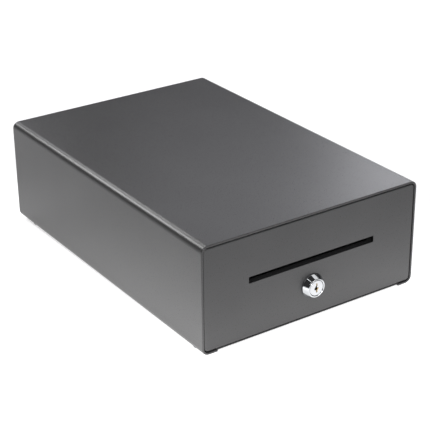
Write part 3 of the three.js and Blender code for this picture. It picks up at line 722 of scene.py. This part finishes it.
def dished(path, section, axis):
    """A swept rim, closed across by two flat faces from the section's last point and its first."""
    last = len(section) - 1
    bm, rows = sweep(path, section, axis, closed=True, gap=last)
    bm.faces.new([row[last] for row in rows])
    bm.faces.new([row[0] for row in rows][::-1])
    return bm


def make_front_panel():
    """The pressed face: edges bent back all round, the slot and the lock's hole."""
    face, back = PANEL_Y
    bend, inner = 1.4, 0.3
    across = (PANEL_X[0] - PANEL_SLACK, PANEL_X[1] + PANEL_SLACK)
    upright = (PANEL_Z[0] - PANEL_SLACK, PANEL_Z[1])
    section = [
        *arc(bend, face + bend, bend, 270, 180, 6), (0, back), (SHEET, back),
        *arc(bend, face + bend, inner, 180, 270, 4),
    ]
    panel = dished(outline(across, upright, 4.5), section, "y")
    through = (face - 2, face + 4)
    slot = block(SLOT_X, through, SLOT_Z)
    hole = rod("y", 0, LOCK_HEIGHT, LOCK_HOLE, *through, 48)
    stand_in("front_panel", "pressed", cut(panel, slot, hole), COAT, "drawer", edge=0.15)


def make_drawer_box():
    """The drawer's tray of folded sheet, with ledges for the till inside."""
    low, high = BOX_Z
    bend, inner = 2.0, 0.8
    section = [
        *arc(bend, low + bend, bend, 270, 180, 5),
        (0, high - 0.3), (0.3, high), (SHEET - 0.3, high), (SHEET, high - 0.3),
        *arc(bend, low + bend, inner, 180, 270, 4),
    ]
    tray = dished(outline(BOX_X, BOX_Y, 2.2, 4), section, "z")
    front = BOX_Y[0]
    for side in (-1, 1):
        wall = side * (BOX_X[1] - HALF)
        ledge = [(wall, LEDGE_Z - 9.1), (wall, LEDGE_Z), (side * LEDGE_X, LEDGE_Z)]
        tray = unite(tray, folded(ledge, "y", (front + 40, front + 300)))
    through = (front - 2, front + 3)
    slot = block(INSIDE_SLOT[0], through, INSIDE_SLOT[1])
    lock = rod("y", 0, LOCK_HEIGHT, LOCK_HOLE + 0.3, *through, 40)
    cam = block((-9, 23), (front + 10, front + 19), (low - 2, low + 3))
    stand_in("drawer_box", "folded", cut(tray, slot, lock, cam), COAT, "drawer")


def make_deflector():
    _, (front, back), (low, high) = span("media_deflector")
    corners = [(front + 0.6, high), (front + 0.6, 83.2), (back - 0.4, low + 0.4)]
    strip = folded(corners, "x", SLOT_X, 1.1, 2.4)
    stand_in("media_deflector", "bent", strip, COAT, "drawer")


# ---- Lock ----
BEZEL, BARREL = 14, 9.4  # radii
PITCH = 1.2  # of the barrel's thread
# The keyway's outline, about the lock's axis: it leans to one side, steps across and drops.
KEYWAY = [
    (-0.5, 5.5), (1.0, 5.5), (1.0, 2.9), (0.3, 1.5), (0.3, 0.6), (2.5, 0.6), (2.5, -1.3), (1.3, -1.7),
    (1.3, -5.0), (-0.6, -5.0), (-0.6, -2.1), (-2.7, -1.7), (-2.7, -0.2), (-1.1, 2.4), (-0.5, 3.2),
]


def make_lock_body():
    """A turned bezel with a flat ring, a fine groove and a threaded barrel behind the panel."""
    tip, back = LOCK_Y
    seat = PANEL_Y[0] - 0.3
    thread = []
    for i in range(int((back - seat - 3) / PITCH)):
        at = seat + 2.4 + PITCH * i
        thread += [(BARREL, at), (BARREL - 0.4, at + 0.5), (BARREL - 0.4, at + 0.7)]
    ring = [(9.1, tip + 4), (9.1, tip + 0.3), (9.4, tip), (10.3, tip), (10.75, tip + 0.35)]
    rim = [(BEZEL - 0.25, seat - 1.2), (BEZEL, seat - 0.8), (BEZEL, seat - 0.2), (BEZEL - 0.2, seat)]
    profile = [(6.8, back), (6.8, tip + 4), *ring, *rim, (BARREL, seat), *thread, (BARREL - 0.2, back)]
    stand_in("lock_body", "turned", lathe(profile, "y", 0, LOCK_HEIGHT, 96), CHROME, "drawer", edge=0)


def make_lock_plug():
    _, (tip, back), _ = span("lock_plug")
    head = [(0, tip), (8.4, tip), (8.8, tip + 0.35), (8.8, tip + 3.4)]
    profile = [*head, (6.5, tip + 3.4), (6.5, back - 0.3), (6.2, back), (0, back)]
    plug = lathe(profile, "y", 0, LOCK_HEIGHT, 96)
    hole = [(x, LOCK_HEIGHT + z) for x, z in KEYWAY]
    plug = cut(plug, prism(hole, "y", tip - 2, tip + 16))
    stand_in("lock_plug", "turned", plug, CHROME, "key_cylinder")
    depth = (tip + 0.7, tip + 9)
    bars = [((0.45, 1.05), (2.2, 5.55)), ((0.7, 1.35), (-5.05, -2.0)), ((1.6, 2.55), (-1.35, -0.3))]
    wards = joined(*[block(x, depth, (LOCK_HEIGHT + z0, LOCK_HEIGHT + z1)) for x, (z0, z1) in bars])
    add_piece("lock_plug_wards", wards, BRASS, "key_cylinder", edge=0.05, segments=1)


# ---- Runners ----
PIN_HOLE = 2.75  # radius of the rollers' pin holes


def dome(axis, u, v, radius, seat, rise):
    """A low rivet head on a face at seat, standing off by rise, which may be negative."""
    turns = [math.radians(90 * i / 5) for i in range(6)]
    cap = [(radius * math.cos(t), seat + rise * math.sin(t)) for t in turns]
    buried = seat - 0.3 * rise
    return lathe([(0, buried), (radius, buried), *cap], axis, u, v, 20)


def make_case_rail():
    """The case's channel: a web with two flanges, riveted on."""
    (inner, web), run, (low, high) = span("case_rail_right")
    middle, under, over = web - HALF, low + HALF, high - HALF
    corners = [(inner, under), (middle, under), (middle, over), (inner, over)]
    rail = folded(corners, "y", run, radius=1.3)
    _, pin_y, pin_z = node_centre("case_roller_pin_right")
    rail = cut(rail, rod("x", pin_y, pin_z, PIN_HOLE, web - 3, web + 1))
    places = (run[0] + 60, run[0] + 190, run[1] - 50)
    return unite(rail, *[dome("x", y, (low + high) / 2, 2.6, web - SHEET, -0.9) for y in places])


def make_drawer_rail():
    """The drawer's angle: a riveted web with a shelf that ends in front of its roller."""
    (web, outer), run, (low, high) = span("drawer_rail_right")
    corners = [(web + HALF, low), (web + HALF, high - HALF), (outer, high - HALF)]
    rail = folded(corners, "y", run, radius=1.3)
    _, pin_y, pin_z = node_centre("drawer_roller_pin_right")
    relief = block((web + SHEET + 0.1, outer + 1), (pin_y - 12, run[1] + 1), (high - 3, high + 1))
    rail = cut(rail, relief, rod("x", pin_y, pin_z, PIN_HOLE, web - 1, web + 3))
    places = (run[0] + 40, run[0] + 165, run[1] - 45)
    return unite(rail, *[dome("x", y, (low + high) / 2, 2.6, web + SHEET, 0.9) for y in places])


def make_roller(node):
    """A moulded wheel with a raised boss and rim on both faces."""
    (low, high), _, (under, over) = span(node)
    _, y, z = node_centre(node)
    radius = (over - under) / 2
    boss = [(2.8, 0.2), (3.0, 0), (4.3, 0), (4.6, 0.8)]
    rim = [(radius - 2.2, 0.8), (radius - 1.9, 0), (radius - 0.8, 0), (radius - 0.2, 0.3), (radius, 0.9)]
    return lathe(both_ends(boss + rim, low, high), "x", y, z, 64)


def make_roller_pin(node, head_high):
    """A riveted pin along X; its head is on the high side or the low side."""
    (low, high), _, _ = span(node)
    _, y, z = node_centre(node)
    length = high - low
    head = [(0, 0), (2.4, 0), (3.4, 0.2), (3.9, 0.5), (4, 0.9), (4, 1)]
    profile = [*head, (2.6, 1), (2.6, length - 0.4), (2.2, length), (0, length)]
    return lathe([(r, high - d if head_high else low + d) for r, d in profile], "x", y, z, 32)


def make_runners():
    for suffix in ("right", "left"):
        for name, body, rail in (
            ("case", "cabinet", make_case_rail()), ("drawer", "drawer", make_drawer_rail()),
        ):
            rail = rail if suffix == "right" else mirror_x(rail)
            stand_in(f"{name}_rail_{suffix}", "folded", rail, ZINC, body, edge=0.1, segments=1)
        for name, body in (("case", "cabinet"), ("drawer", "drawer")):
            node = f"{name}_roller_{suffix}"
            stand_in(node, "moulded", make_roller(node), NYLON, f"{name}_wheel_{suffix}", edge=0)
            node = f"{name}_roller_pin_{suffix}"
            pin = make_roller_pin(node, (suffix == "right") == (name == "drawer"))
            stand_in(node, "turned", pin, BARE_STEEL, body, edge=0)


# ---- Till ----
TILL_WALL = 2.5
CLIP_X = (-80, 0, 80)
CLIP_TILT = 18.9  # degrees the note clips lean down at rest
_, AXLE_Y, AXLE_Z = node_centre("clip_axle")
AXLE_HOLE = 2.35  # radius of the holes on the axle


def make_till_tray():
    """The moulded tray with its rolled rim, a cross wall behind the cups and low ribs under the notes."""
    low, high = TILL_Z
    wall, fillet = TILL_WALL, 1.8
    section = [
        *arc(3, low + 3, 3, 270, 180, 5),
        *arc(wall / 2, high - wall / 2, wall / 2, 180, 0, 8),
        *arc(wall + fillet, low + wall + fillet, fillet, 180, 270, 4),
    ]
    tray = dished(outline(TILL_X, TILL_Y, 6, 8), section, "z")
    cross = span("coin_cup_1")[1][1] + 0.7
    inside = TILL_X[1] - wall
    divider_x = node_centre("bill_divider_2")[0]
    top = span("bill_divider_1")[2][1]
    parts = [block((-inside - 0.5, inside + 0.5), (cross, cross + wall), (low + 1, top))]
    middle = (divider_x + inside) / 2
    for centre in (-middle, 0, middle):
        for x in (centre - 20, centre + 20):
            bar = rounded_rect((x - 1, x + 1), (cross + 12, AXLE_Y - 22), 0.9, 4)
            parts.append(prism(bar, "z", low + wall - 0.5, low + wall + 1.2))
    stand_in("till_tray", "moulded", unite(tray, *parts), ABS, "drawer", edge=0.25)


def make_coin_cups():
    """Five loose cups whose floors scoop up to the front and back."""
    for i in range(1, 6):
        x, y, z = span(f"coin_cup_{i}")
        cup = prism(rounded_rect(x, y, 4), "z", *z)
        scoop = rounded_rect((y[0] + 2, y[1] - 2), (z[0] + 2, z[1] + 40), 26, 12)
        hollow = round_edges(prism(scoop, "x", x[0] + 2, x[1] - 2), 2.2, 4)
        stand_in(f"coin_cup_{i}", "moulded", cut(cup, hollow), ABS, "drawer", edge=0.5, segments=3)


def make_dividers():
    for i in (1, 2):
        x, y, z = span(f"bill_divider_{i}")
        plate = prism(rounded_rect(y, z, 4), "x", *x)
        plate = cut(plate, rod("x", AXLE_Y, AXLE_Z, AXLE_HOLE, x[0] - 1, x[1] + 1, 32))
        stand_in(f"bill_divider_{i}", "moulded", plate, ABS, "drawer", edge=0.6, segments=3)


def make_clip_axle():
    (low, high), _, _ = span("clip_axle")
    end = [(0, 0), (1.5, 0), (1.95, 0.5), (1.95, 3), (1.65, 3.2), (1.65, 4.2), (1.95, 4.4)]
    axle = lathe(both_ends(end, low, high), "x", AXLE_Y, AXLE_Z, 32)
    stand_in("clip_axle", "turned", axle, BARE_STEEL, "drawer", edge=0)


def make_bill_clips():
    """Note clips: a hub, an arm with two ribs and a window, and a grooved pressing roll."""
    y, z = AXLE_Y, AXLE_Z
    half, reach, roll_half = 11, 60, 14
    grooves = []
    for i in range(-6, 7):
        grooves += [(3.2, 2 * i - 0.35), (3.2, 2 * i + 0.35), (3.5, 2 * i + 0.6), (3.5, 2 * i + 1.4)]
    ends = both_ends([(0, 0), (2.9, 0), (3.5, 0.6)], -roll_half, roll_half)
    grooved = [*ends[:3], *grooves[:-2], *ends[3:]]
    for i, x in enumerate(CLIP_X, 1):
        sides = (x - half, x + half)
        hub = lathe(both_ends([(AXLE_HOLE, 0), (4.1, 0), (4.6, 0.5)], *sides), "x", y, z, 40)
        arm = prism(rounded_rect(sides, (y - reach, y - 3.6), 1), "z", z - 1, z + 1)
        rib = rounded_rect((y - reach + 2, y - 3), (z - 0.5, z + 3.4), 1.2, 4)
        ribs = [prism(rib, "x", x + a, x + a + 1.8) for a in (-half, half - 1.8)]
        roll = lathe([(r, x + w) for r, w in grooved], "x", y - reach, z, 32)
        clip = unite(hub, arm, *ribs, roll)
        window = prism(rounded_rect((x - 5.5, x + 5.5), (y - 48, y - 14), 3), "z", z - 4, z + 4)
        clip = cut(clip, window, rod("x", y, z, AXLE_HOLE, x - 14, x + 14))
        turned(clip, CLIP_TILT, "X", (x, y, z))
        stand_in(f"bill_clip_{i}", "moulded", clip, ABS, f"note_clip_{i}", edge=0.2)


# ---- Behind the lock, and the striker ----
def hexagon(u, v, radius):
    return arc(u, v, radius, 30, 390, 6)[:-1]


def make_lock_cam():
    """The flat cam: a round hub with an arm, held by a thin hexagonal bolt."""
    (_, tip), (front, back), (low, high) = span("lock_cam")
    hub = rod("y", 0, LOCK_HEIGHT, (high - low) / 2, front, back, 48)
    arm = prism(rounded_rect((0, tip), (LOCK_HEIGHT - 6, LOCK_HEIGHT + 6), 4), "y", front, back)
    bolt = prism(hexagon(0, LOCK_HEIGHT, 5), "y", back - 0.5, back + 1.2)
    stand_in("lock_cam", "stamped", unite(hub, arm, bolt), ZINC, "key_cylinder", edge=0.25)


def make_lock_nut():
    _, (front, back), _ = span("lock_nut")
    nut = prism(hexagon(0, LOCK_HEIGHT, 14), "y", front, back)
    nut = cut(nut, rod("y", 0, LOCK_HEIGHT, 9.65, front - 1, back + 1, 48))
    stand_in("lock_nut", "hexagonal", nut, ZINC, "drawer", edge=0.5)


def make_lock_keeper():
    x, (front, back), (low, high) = span("lock_keeper")
    corners = [(front, low + HALF), (back - HALF, low + HALF), (back - HALF, high)]
    keeper = folded(corners, "x", x, radius=1.1)
    heads = [dome("z", side * 6, front + 4, 1.8, low + SHEET, 0.6) for side in (-1, 1)]
    stand_in("lock_keeper", "folded", unite(keeper, *heads), ZINC, "cabinet")


def make_striker():
    """A plate riveted to the back of the drawer, with the tongue that the latch hooks."""
    (left, right), (front, back), (low, high) = span("striker")
    thick, tongue, lug = 1.5, 30, 39
    plate = prism(rounded_rect((left, right), (low, high), 2), "y", front, front + thick)
    middle, end = tongue + thick / 2, back - thick / 2
    corners = [(front + 0.5, middle), (end, middle), (end, lug)]
    hook = folded(corners, "x", (left + 4, right - 4), thick, 1.6)
    x = (left + right) / 2
    heads = [dome("y", x + side * 6, high - 6, 2.2, front + thick, 0.8) for side in (-1, 1)]
    stand_in("striker", "bent", unite(plate, hook, *heads), ZINC, "drawer", edge=0.15)


# ---- Latch, behind the drawer ----
PIVOT_X, PIVOT_Z = 60, 40  # the latch lever's pin
RELEASE = 14  # degrees from latched to released
LEVER_Y = span("latch_lever")[1][0]
LEVER_THICK = 3
LEVER_HOLD = 22  # from the pin to the peg on the spring
SPRING_Z = span("latch_spring")[2]
WINDOW_X, WINDOW_Z = (5, 25), (27, 45)  # the striker's window in the bracket


def make_latch_bracket():
    """A folded bracket with the striker's window, the lever's stud and a post for the spring."""
    x, (front, foot), (low, high) = span("latch_bracket")
    face = front + 1.5 - HALF
    plate = folded([(foot, low + HALF), (face, low + HALF), (face, high)], "x", x, radius=1.5)
    plate = cut(plate, prism(rounded_rect(WINDOW_X, WINDOW_Z, 1.5), "y", front - 2, front + 4))
    end = LEVER_Y + LEVER_THICK
    head = [(4.3, end + 0.3), (4.5, end + 0.5), (4.4, end + 1.1), (3.4, end + 1.4), (0, end + 1.5)]
    stud = [(0, face), (2.5, face), (2.5, end + 0.3), *head]
    seat, tip = low + HALF, SPRING_Z[0] - 0.3
    post = [(0, seat), (1.3, seat), (1.3, tip - 0.5), (0.9, tip), (0, tip)]
    spring_x, spring_y, _ = node_centre("latch_spring")
    parts = [
        lathe(stud, "y", PIVOT_X, PIVOT_Z, 32), lathe(post, "z", spring_x, spring_y, 24),
        dome("z", 12, foot - 8, 2.4, low + SHEET, 0.9), dome("y", 95, 32, 2.2, face + HALF, 0.8),
    ]
    stand_in("latch_bracket", "folded", unite(plate, *parts), ZINC, "cabinet")


def make_latch_lever():
    """The hooked lever, drawn about its pivot as it lies when latched, then swung to released."""
    depth = (0, LEVER_THICK)
    nose = [(-52, 4), (-52, -5.5), (-50, -7.7), (-38, -7.7), (-38, 4)]
    lever = unite(
        rod("y", 0, 0, 7, *depth, 48),
        prism(rounded_rect((-42, 0), (-2, 4), 0.5, 3), "y", *depth),
        prism(nose, "y", *depth),
        prism(rounded_rect((-3.5, 3.5), (0, 17), 3, 6), "y", *depth),
        prism(rounded_rect((0, 26), (-4, 2), 2.5, 6), "y", *depth),
        lathe([(0, 1), (1.5, 1), (1.5, 15.5), (1.1, 16), (0, 16)], "y", 0, 14, 24),
        lathe([(0, 1), (1.3, 1), (1.3, 9.5), (0.9, 10), (0, 10)], "y", -LEVER_HOLD, 1, 24),
    )
    lever = cut(lever, rod("y", 0, 0, 2.8, -1, LEVER_THICK + 1, 32))
    turned(lever, RELEASE, "Y")
    moved(lever, (PIVOT_X, LEVER_Y, PIVOT_Z))
    stand_in("latch_lever", "stamped", lever, ZINC, "latch", edge=0.15)


def make_latch_spring():
    """The spring under the lever, which shortens as the lever swings down."""
    wire, radius = 0.5, 3
    low, high = SPRING_Z
    x, y, _ = node_centre("latch_spring")
    coil = tube(helix(radius, 10, high - low - 2 * wire), wire, 8)
    spring = moved(coil, (x, y, low + wire))
    spring = stand_in("latch_spring", "coiled", spring, SPRING_STEEL, "cabinet", edge=0)
    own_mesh(spring)


def make_solenoid():
    """A folded frame round a bobbin of enamelled wire, and the plunger with its slotted tongue."""
    (left, right), (front, back), z = span("solenoid_frame")
    _, axis_y, axis_z = node_centre("solenoid_coil")
    half = 0.75  # half the frame's thickness
    inner, outer, face = left + half, right - half, front + half
    cage = folded([(inner, back), (inner, face), (outer, face), (outer, back)], "z", z, 2 * half, 1.7)
    cage = cut(cage, rod("x", axis_y, axis_z, 3.7, left - 1, left + 3, 32))
    stand_in("solenoid_frame", "folded", cage, ZINC, "cabinet", edge=0.15)

    (low, high), _, _ = span("solenoid_coil")
    flange = [(3.6, 0), (9.1, 0), (9.4, 0.3), (9.4, 0.9), (9.1, 1.2), (4.2, 1.2)]
    bobbin = lathe(both_ends(flange, low, high), "x", axis_y, axis_z, 48)
    add_piece("solenoid_bobbin", bobbin, NYLON, "cabinet", edge=0)
    turns = int((high - low - 2.6) / 0.5)
    layer = [(8.4 if i % 2 else 8.1, low + 1.3 + 0.25 * i) for i in range(2 * turns + 1)]
    winding = lathe([(4.3, layer[0][1]), *layer, (4.3, layer[-1][1])], "x", axis_y, axis_z, 40)
    add_piece("solenoid_winding", winding, COPPER, "cabinet", ["solenoid_coil"], edge=0)

    (tip, end), _, _ = span("solenoid_plunger")
    slot_x = tip + 4.5
    stem = [(0, slot_x + 4), (2.8, slot_x + 4), (3.2, slot_x + 4.5), (3.2, end - 0.6), (2.6, end), (0, end)]
    plunger = unite(
        lathe(stem, "x", axis_y, axis_z, 40),
        prism(rounded_rect((tip, slot_x + 6), (axis_z - 5, axis_z + 5), 2), "y", axis_y - 1.4, axis_y + 1.4),
    )
    slot = rounded_rect((slot_x - 1.8, slot_x + 1.8), (axis_z - 3.5, axis_z + 3), 1.7)
    plunger = cut(plunger, prism(slot, "y", axis_y - 5, axis_y + 5))
    stand_in("solenoid_plunger", "turned", plunger, BARE_STEEL, "plunger")


def make_switch():
    """A small snap switch in two moulded halves, and the thin leaf over its button."""
    x, (front, back), (low, top) = span("switch_body")
    high = top - 1.2
    middle = (front + back) / 2
    body = unite(
        block(x, (front, middle - 0.15), (low, high)),
        block((x[0] + 0.3, x[1] - 0.3), (front + 1, back - 1), (low + 0.3, high - 0.3)),
        block(x, (middle + 0.15, back), (low, high)),
        block((x[0] + 4, x[0] + 7), (front + 1.5, front + 4), (high - 1, top)),
    )
    holes = [rod("y", at, low + 3.2, 1.5, front - 1, back + 1, 24) for at in (x[0] + 5, x[1] - 5)]
    stand_in("switch_body", "moulded", cut(body, *holes), ABS, "cabinet", edge=0.2)
    leaf = from_node("switch_lever")
    add_piece("switch_leaf_stamped", leaf, SPRING_STEEL, "switch_leaf", ["switch_lever"], edge=0.08)


# ---- Ejector, jack and wiring ----
def make_ejector():
    """The sprung rod that pushes the drawer out."""
    _, (front, back), _ = span("ejector_rod")
    x, _, z = node_centre("ejector_rod")
    shank = [(0, front), (2.2, front), (3, front + 0.8), (3, back - 1.5)]
    flange = [(8.7, back - 1.5), (9, back - 1.2), (9, back - 0.3), (8.7, back), (0, back)]
    push_rod = lathe(shank + flange, "y", x, z, 48)
    stand_in("ejector_rod", "turned", push_rod, BARE_STEEL, "cabinet", edge=0)
    _, (start, end), _ = span("ejector_spring")
    wire, radius = 0.9, 6
    coil = tube(helix(radius, 9, end - start - 2 * wire), wire, 10)
    turned(coil, -90, "X")
    moved(coil, (x, start + wire, z))
    stand_in("ejector_spring", "coiled", coil, SPRING_STEEL, "cabinet", edge=0)


def make_jack():
    """The modular socket, with six sprung contacts inside."""
    x, z, back = sum(JACK_X) / 2, sum(JACK_Z) / 2, JACK_Y[1]
    floor = z - 4
    body = block(JACK_X, JACK_Y, JACK_Z)
    opening = block((x - 4.85, x + 4.85), (back - 12, back + 1), (floor, floor + 6.8))
    notch = block((x - 1.6, x + 1.6), (back - 12, back + 1), (floor - 1.8, floor + 1))
    stand_in("modular_jack", "moulded", cut(body, opening, notch), ABS, "cabinet", edge=0.25)
    wires = []
    for i in range(6):
        at = x + (i - 2.5) * 1.25
        path = [(at, back - 11.6, floor + 3.2), (at, back - 9, floor + 3.6), (at, back - 3.2, floor + 6.4)]
        wires.append(tube(smooth_path(path, 4), 0.25, 8))
    add_piece("modular_jack_contacts", joined(*wires), BRASS, "cabinet", edge=0)


def make_harness():
    """The lead from the jack along the base to the solenoid, with a branch to the switch."""
    shift = sum(CASE_Y) / 2
    lay = 10.5
    jack_x, jack_y, jack_z = sum(JACK_X) / 2, JACK_Y[0] - shift, sum(JACK_Z) / 2
    main = [
        (jack_x, jack_y - 0.6, jack_z), (jack_x, jack_y - 4, jack_z - 0.2),
        (jack_x + 1, jack_y - 9, jack_z - 4), (jack_x + 6, jack_y - 9, lay + 2),
        (jack_x + 16, 180, lay), (-50, 184, lay), (0, 182, lay),
        (60, 184, lay), (78, 188, lay + 1), (88, 194, 18), (89, 195.5, 36), (89, 195, 49),
        (89, 192.7, 53.7), (89, 190, 54),
    ]
    branch = [(60, 184, lay), (80, 184, lay), (94, 185, 15), (97, 181.3, 18.8), (97, 178.4, 19)]
    main = smooth_path([(x, y + shift, z) for x, y, z in main], 6)
    branch = smooth_path([(x, y + shift, z) for x, y, z in branch], 6)
    lead = unite(tube(main, 2.0, 12), tube(branch, 1.2, 10))
    sleeves = [tube(main[:16], 2.3, 12), tube(main[-14:], 2.3, 12)]
    stand_in("wire_harness", "sleeved", unite(lead, *sleeves), SLEEVE, "cabinet", edge=0)


# ---- Studio ----
FLOOR_SIZE = 9.0
FOOTPRINT = (0.14, 0.205, 0)  # half the case's width and depth, in metres
# How strongly the floor glows at two distances from the case: near, far, strength near, strength far.
GLOW_AROUND = (0.02, 0.16, 0.62, 0.12)
GLOW_BEYOND = (0.6, 2.0, 0, 0.7)  # past the soft boxes' own light
GLOW_LEFT = (0, 0.34, 1.4, 0)
GLOW_FRONT = (0, 0.26, 0.95, 0)
GLOW_BLUR = 0.02  # half the width of the steps at the edges of those last two
LEFT_FADE = (0.2, -0.2)  # the left one grows from nothing at the back to its full strength in front
WORLD_GLOW = 0.05
COOL = (0.945, 0.95, 1.0)
WHITE = (1.0, 1.0, 1.0)
# name: azimuth, elevation, width, height, power, colour
SOFTBOXES = {
    "right_near": (37, 33, 0.6, 0.6, 1.5, COOL),
    "right": (55, 27, 0.6, 0.6, 5.4, COOL),
    "right_far": (70, 27, 0.6, 0.6, 10.5, COOL),
    "right_high": (86, 52, 1.1, 1.7, 8.0, WHITE),
    "back": (8, 25, 0.6, 0.6, 1.5, COOL),
    "back_high": (8, 41, 0.7, 0.35, 6, WHITE),
    "back_left": (-25, 36, 0.7, 0.45, 15, WHITE),
    "left_strip": (-106, 58, 0.9, 0.14, 0.9, WHITE),
    "front": (180, 50, 0.9, 0.9, 10, WHITE),
    "fill": (-146, 28, 0.6, 0.6, 12, WHITE),
}
LIGHT_DISTANCE = 2.0
LIGHT_AIM = Vector((0, 0, 0.1))


def pale_floor():
    """A plain white studio floor whose emission is painted light, standing in for light from below,
    brightest close to the case's front and left.
    """
    floor = Shader("floor", 0.75)
    floor.color(floor.noise(3, 2), (0.86, 0.86, 0.86), (0.88, 0.88, 0.88))
    offset = floor.vector_math("SUBTRACT", floor.vector_math("ABSOLUTE", floor.place), FOOTPRINT)
    distance = floor.vector_math("LENGTH", floor.vector_math("MAXIMUM", offset), output="Value")
    axes = floor.node("ShaderNodeSeparateXYZ")
    floor.link(floor.place, axes.inputs["Vector"])
    x, y = axes.outputs["X"], axes.outputs["Y"]
    on_left = floor.spread(x, GLOW_BLUR - FOOTPRINT[0], -GLOW_BLUR - FOOTPRINT[0])
    in_front = floor.spread(y, GLOW_BLUR - FOOTPRINT[1], -GLOW_BLUR - FOOTPRINT[1])
    leftward = floor.combined("MULTIPLY", on_left, floor.spread(y, *LEFT_FADE))
    # painted light: the floor glows like a lamp, most strongly round the case's front and left, and lights
    # the case from below
    glow = floor.combined(
        "ADD",
        floor.spread(distance, *GLOW_AROUND),
        floor.spread(distance, *GLOW_BEYOND),
        floor.combined("MULTIPLY", leftward, floor.spread(distance, *GLOW_LEFT)),
        floor.combined("MULTIPLY", in_front, floor.spread(distance, *GLOW_FRONT)),
    )
    floor.link(glow, floor.surface.inputs["Emission Strength"])
    floor.surface.inputs["Emission Color"].default_value = (1, 1, 1, 1)
    floor.surface.inputs["Specular IOR Level"].default_value = 0.1
    return floor.material


def add_softbox(name, azimuth, elevation, width, height, power, color):
    """A soft light on a sphere round the case, facing its middle."""
    light = bpy.data.lights.new(name, "AREA")
    light.shape = "RECTANGLE"
    light.size = width
    light.size_y = height
    light.energy = power
    light.color = color
    obj = bpy.data.objects.new(name, light)
    bpy.context.scene.collection.objects.link(obj)
    away = direction(azimuth, elevation)
    obj.location = LIGHT_AIM + away * LIGHT_DISTANCE
    obj.rotation_euler = (-away).to_track_quat("-Z", "Y").to_euler()


def add_studio():
    """A glowing white floor in a dim room, with soft boxes round and above the case."""
    bpy.ops.mesh.primitive_plane_add(size=FLOOR_SIZE)
    floor = bpy.context.object
    floor.name = "floor"
    floor.data.materials.append(pale_floor())
    world = bpy.data.worlds.new("studio")
    world.use_nodes = True
    world.node_tree.nodes["Background"].inputs["Color"].default_value = (1, 1, 1, 1)
    world.node_tree.nodes["Background"].inputs["Strength"].default_value = WORLD_GLOW
    bpy.context.scene.world = world
    bpy.context.scene.view_settings.view_transform = "Standard"
    for name, setting in SOFTBOXES.items():
        add_softbox(name, *setting)


add_camera()
add_studio()
for make in (
    make_case_shell, make_base_pan, make_rear_panel, make_feet, make_screws, make_front_panel,
    make_drawer_box, make_deflector, make_lock_body, make_lock_plug, make_runners, make_till_tray,
    make_coin_cups, make_dividers, make_clip_axle, make_bill_clips, make_lock_cam, make_lock_nut,
    make_lock_keeper, make_striker, make_latch_bracket, make_latch_lever, make_latch_spring,
    make_solenoid, make_switch, make_ejector, make_jack, make_harness,
):
    make()
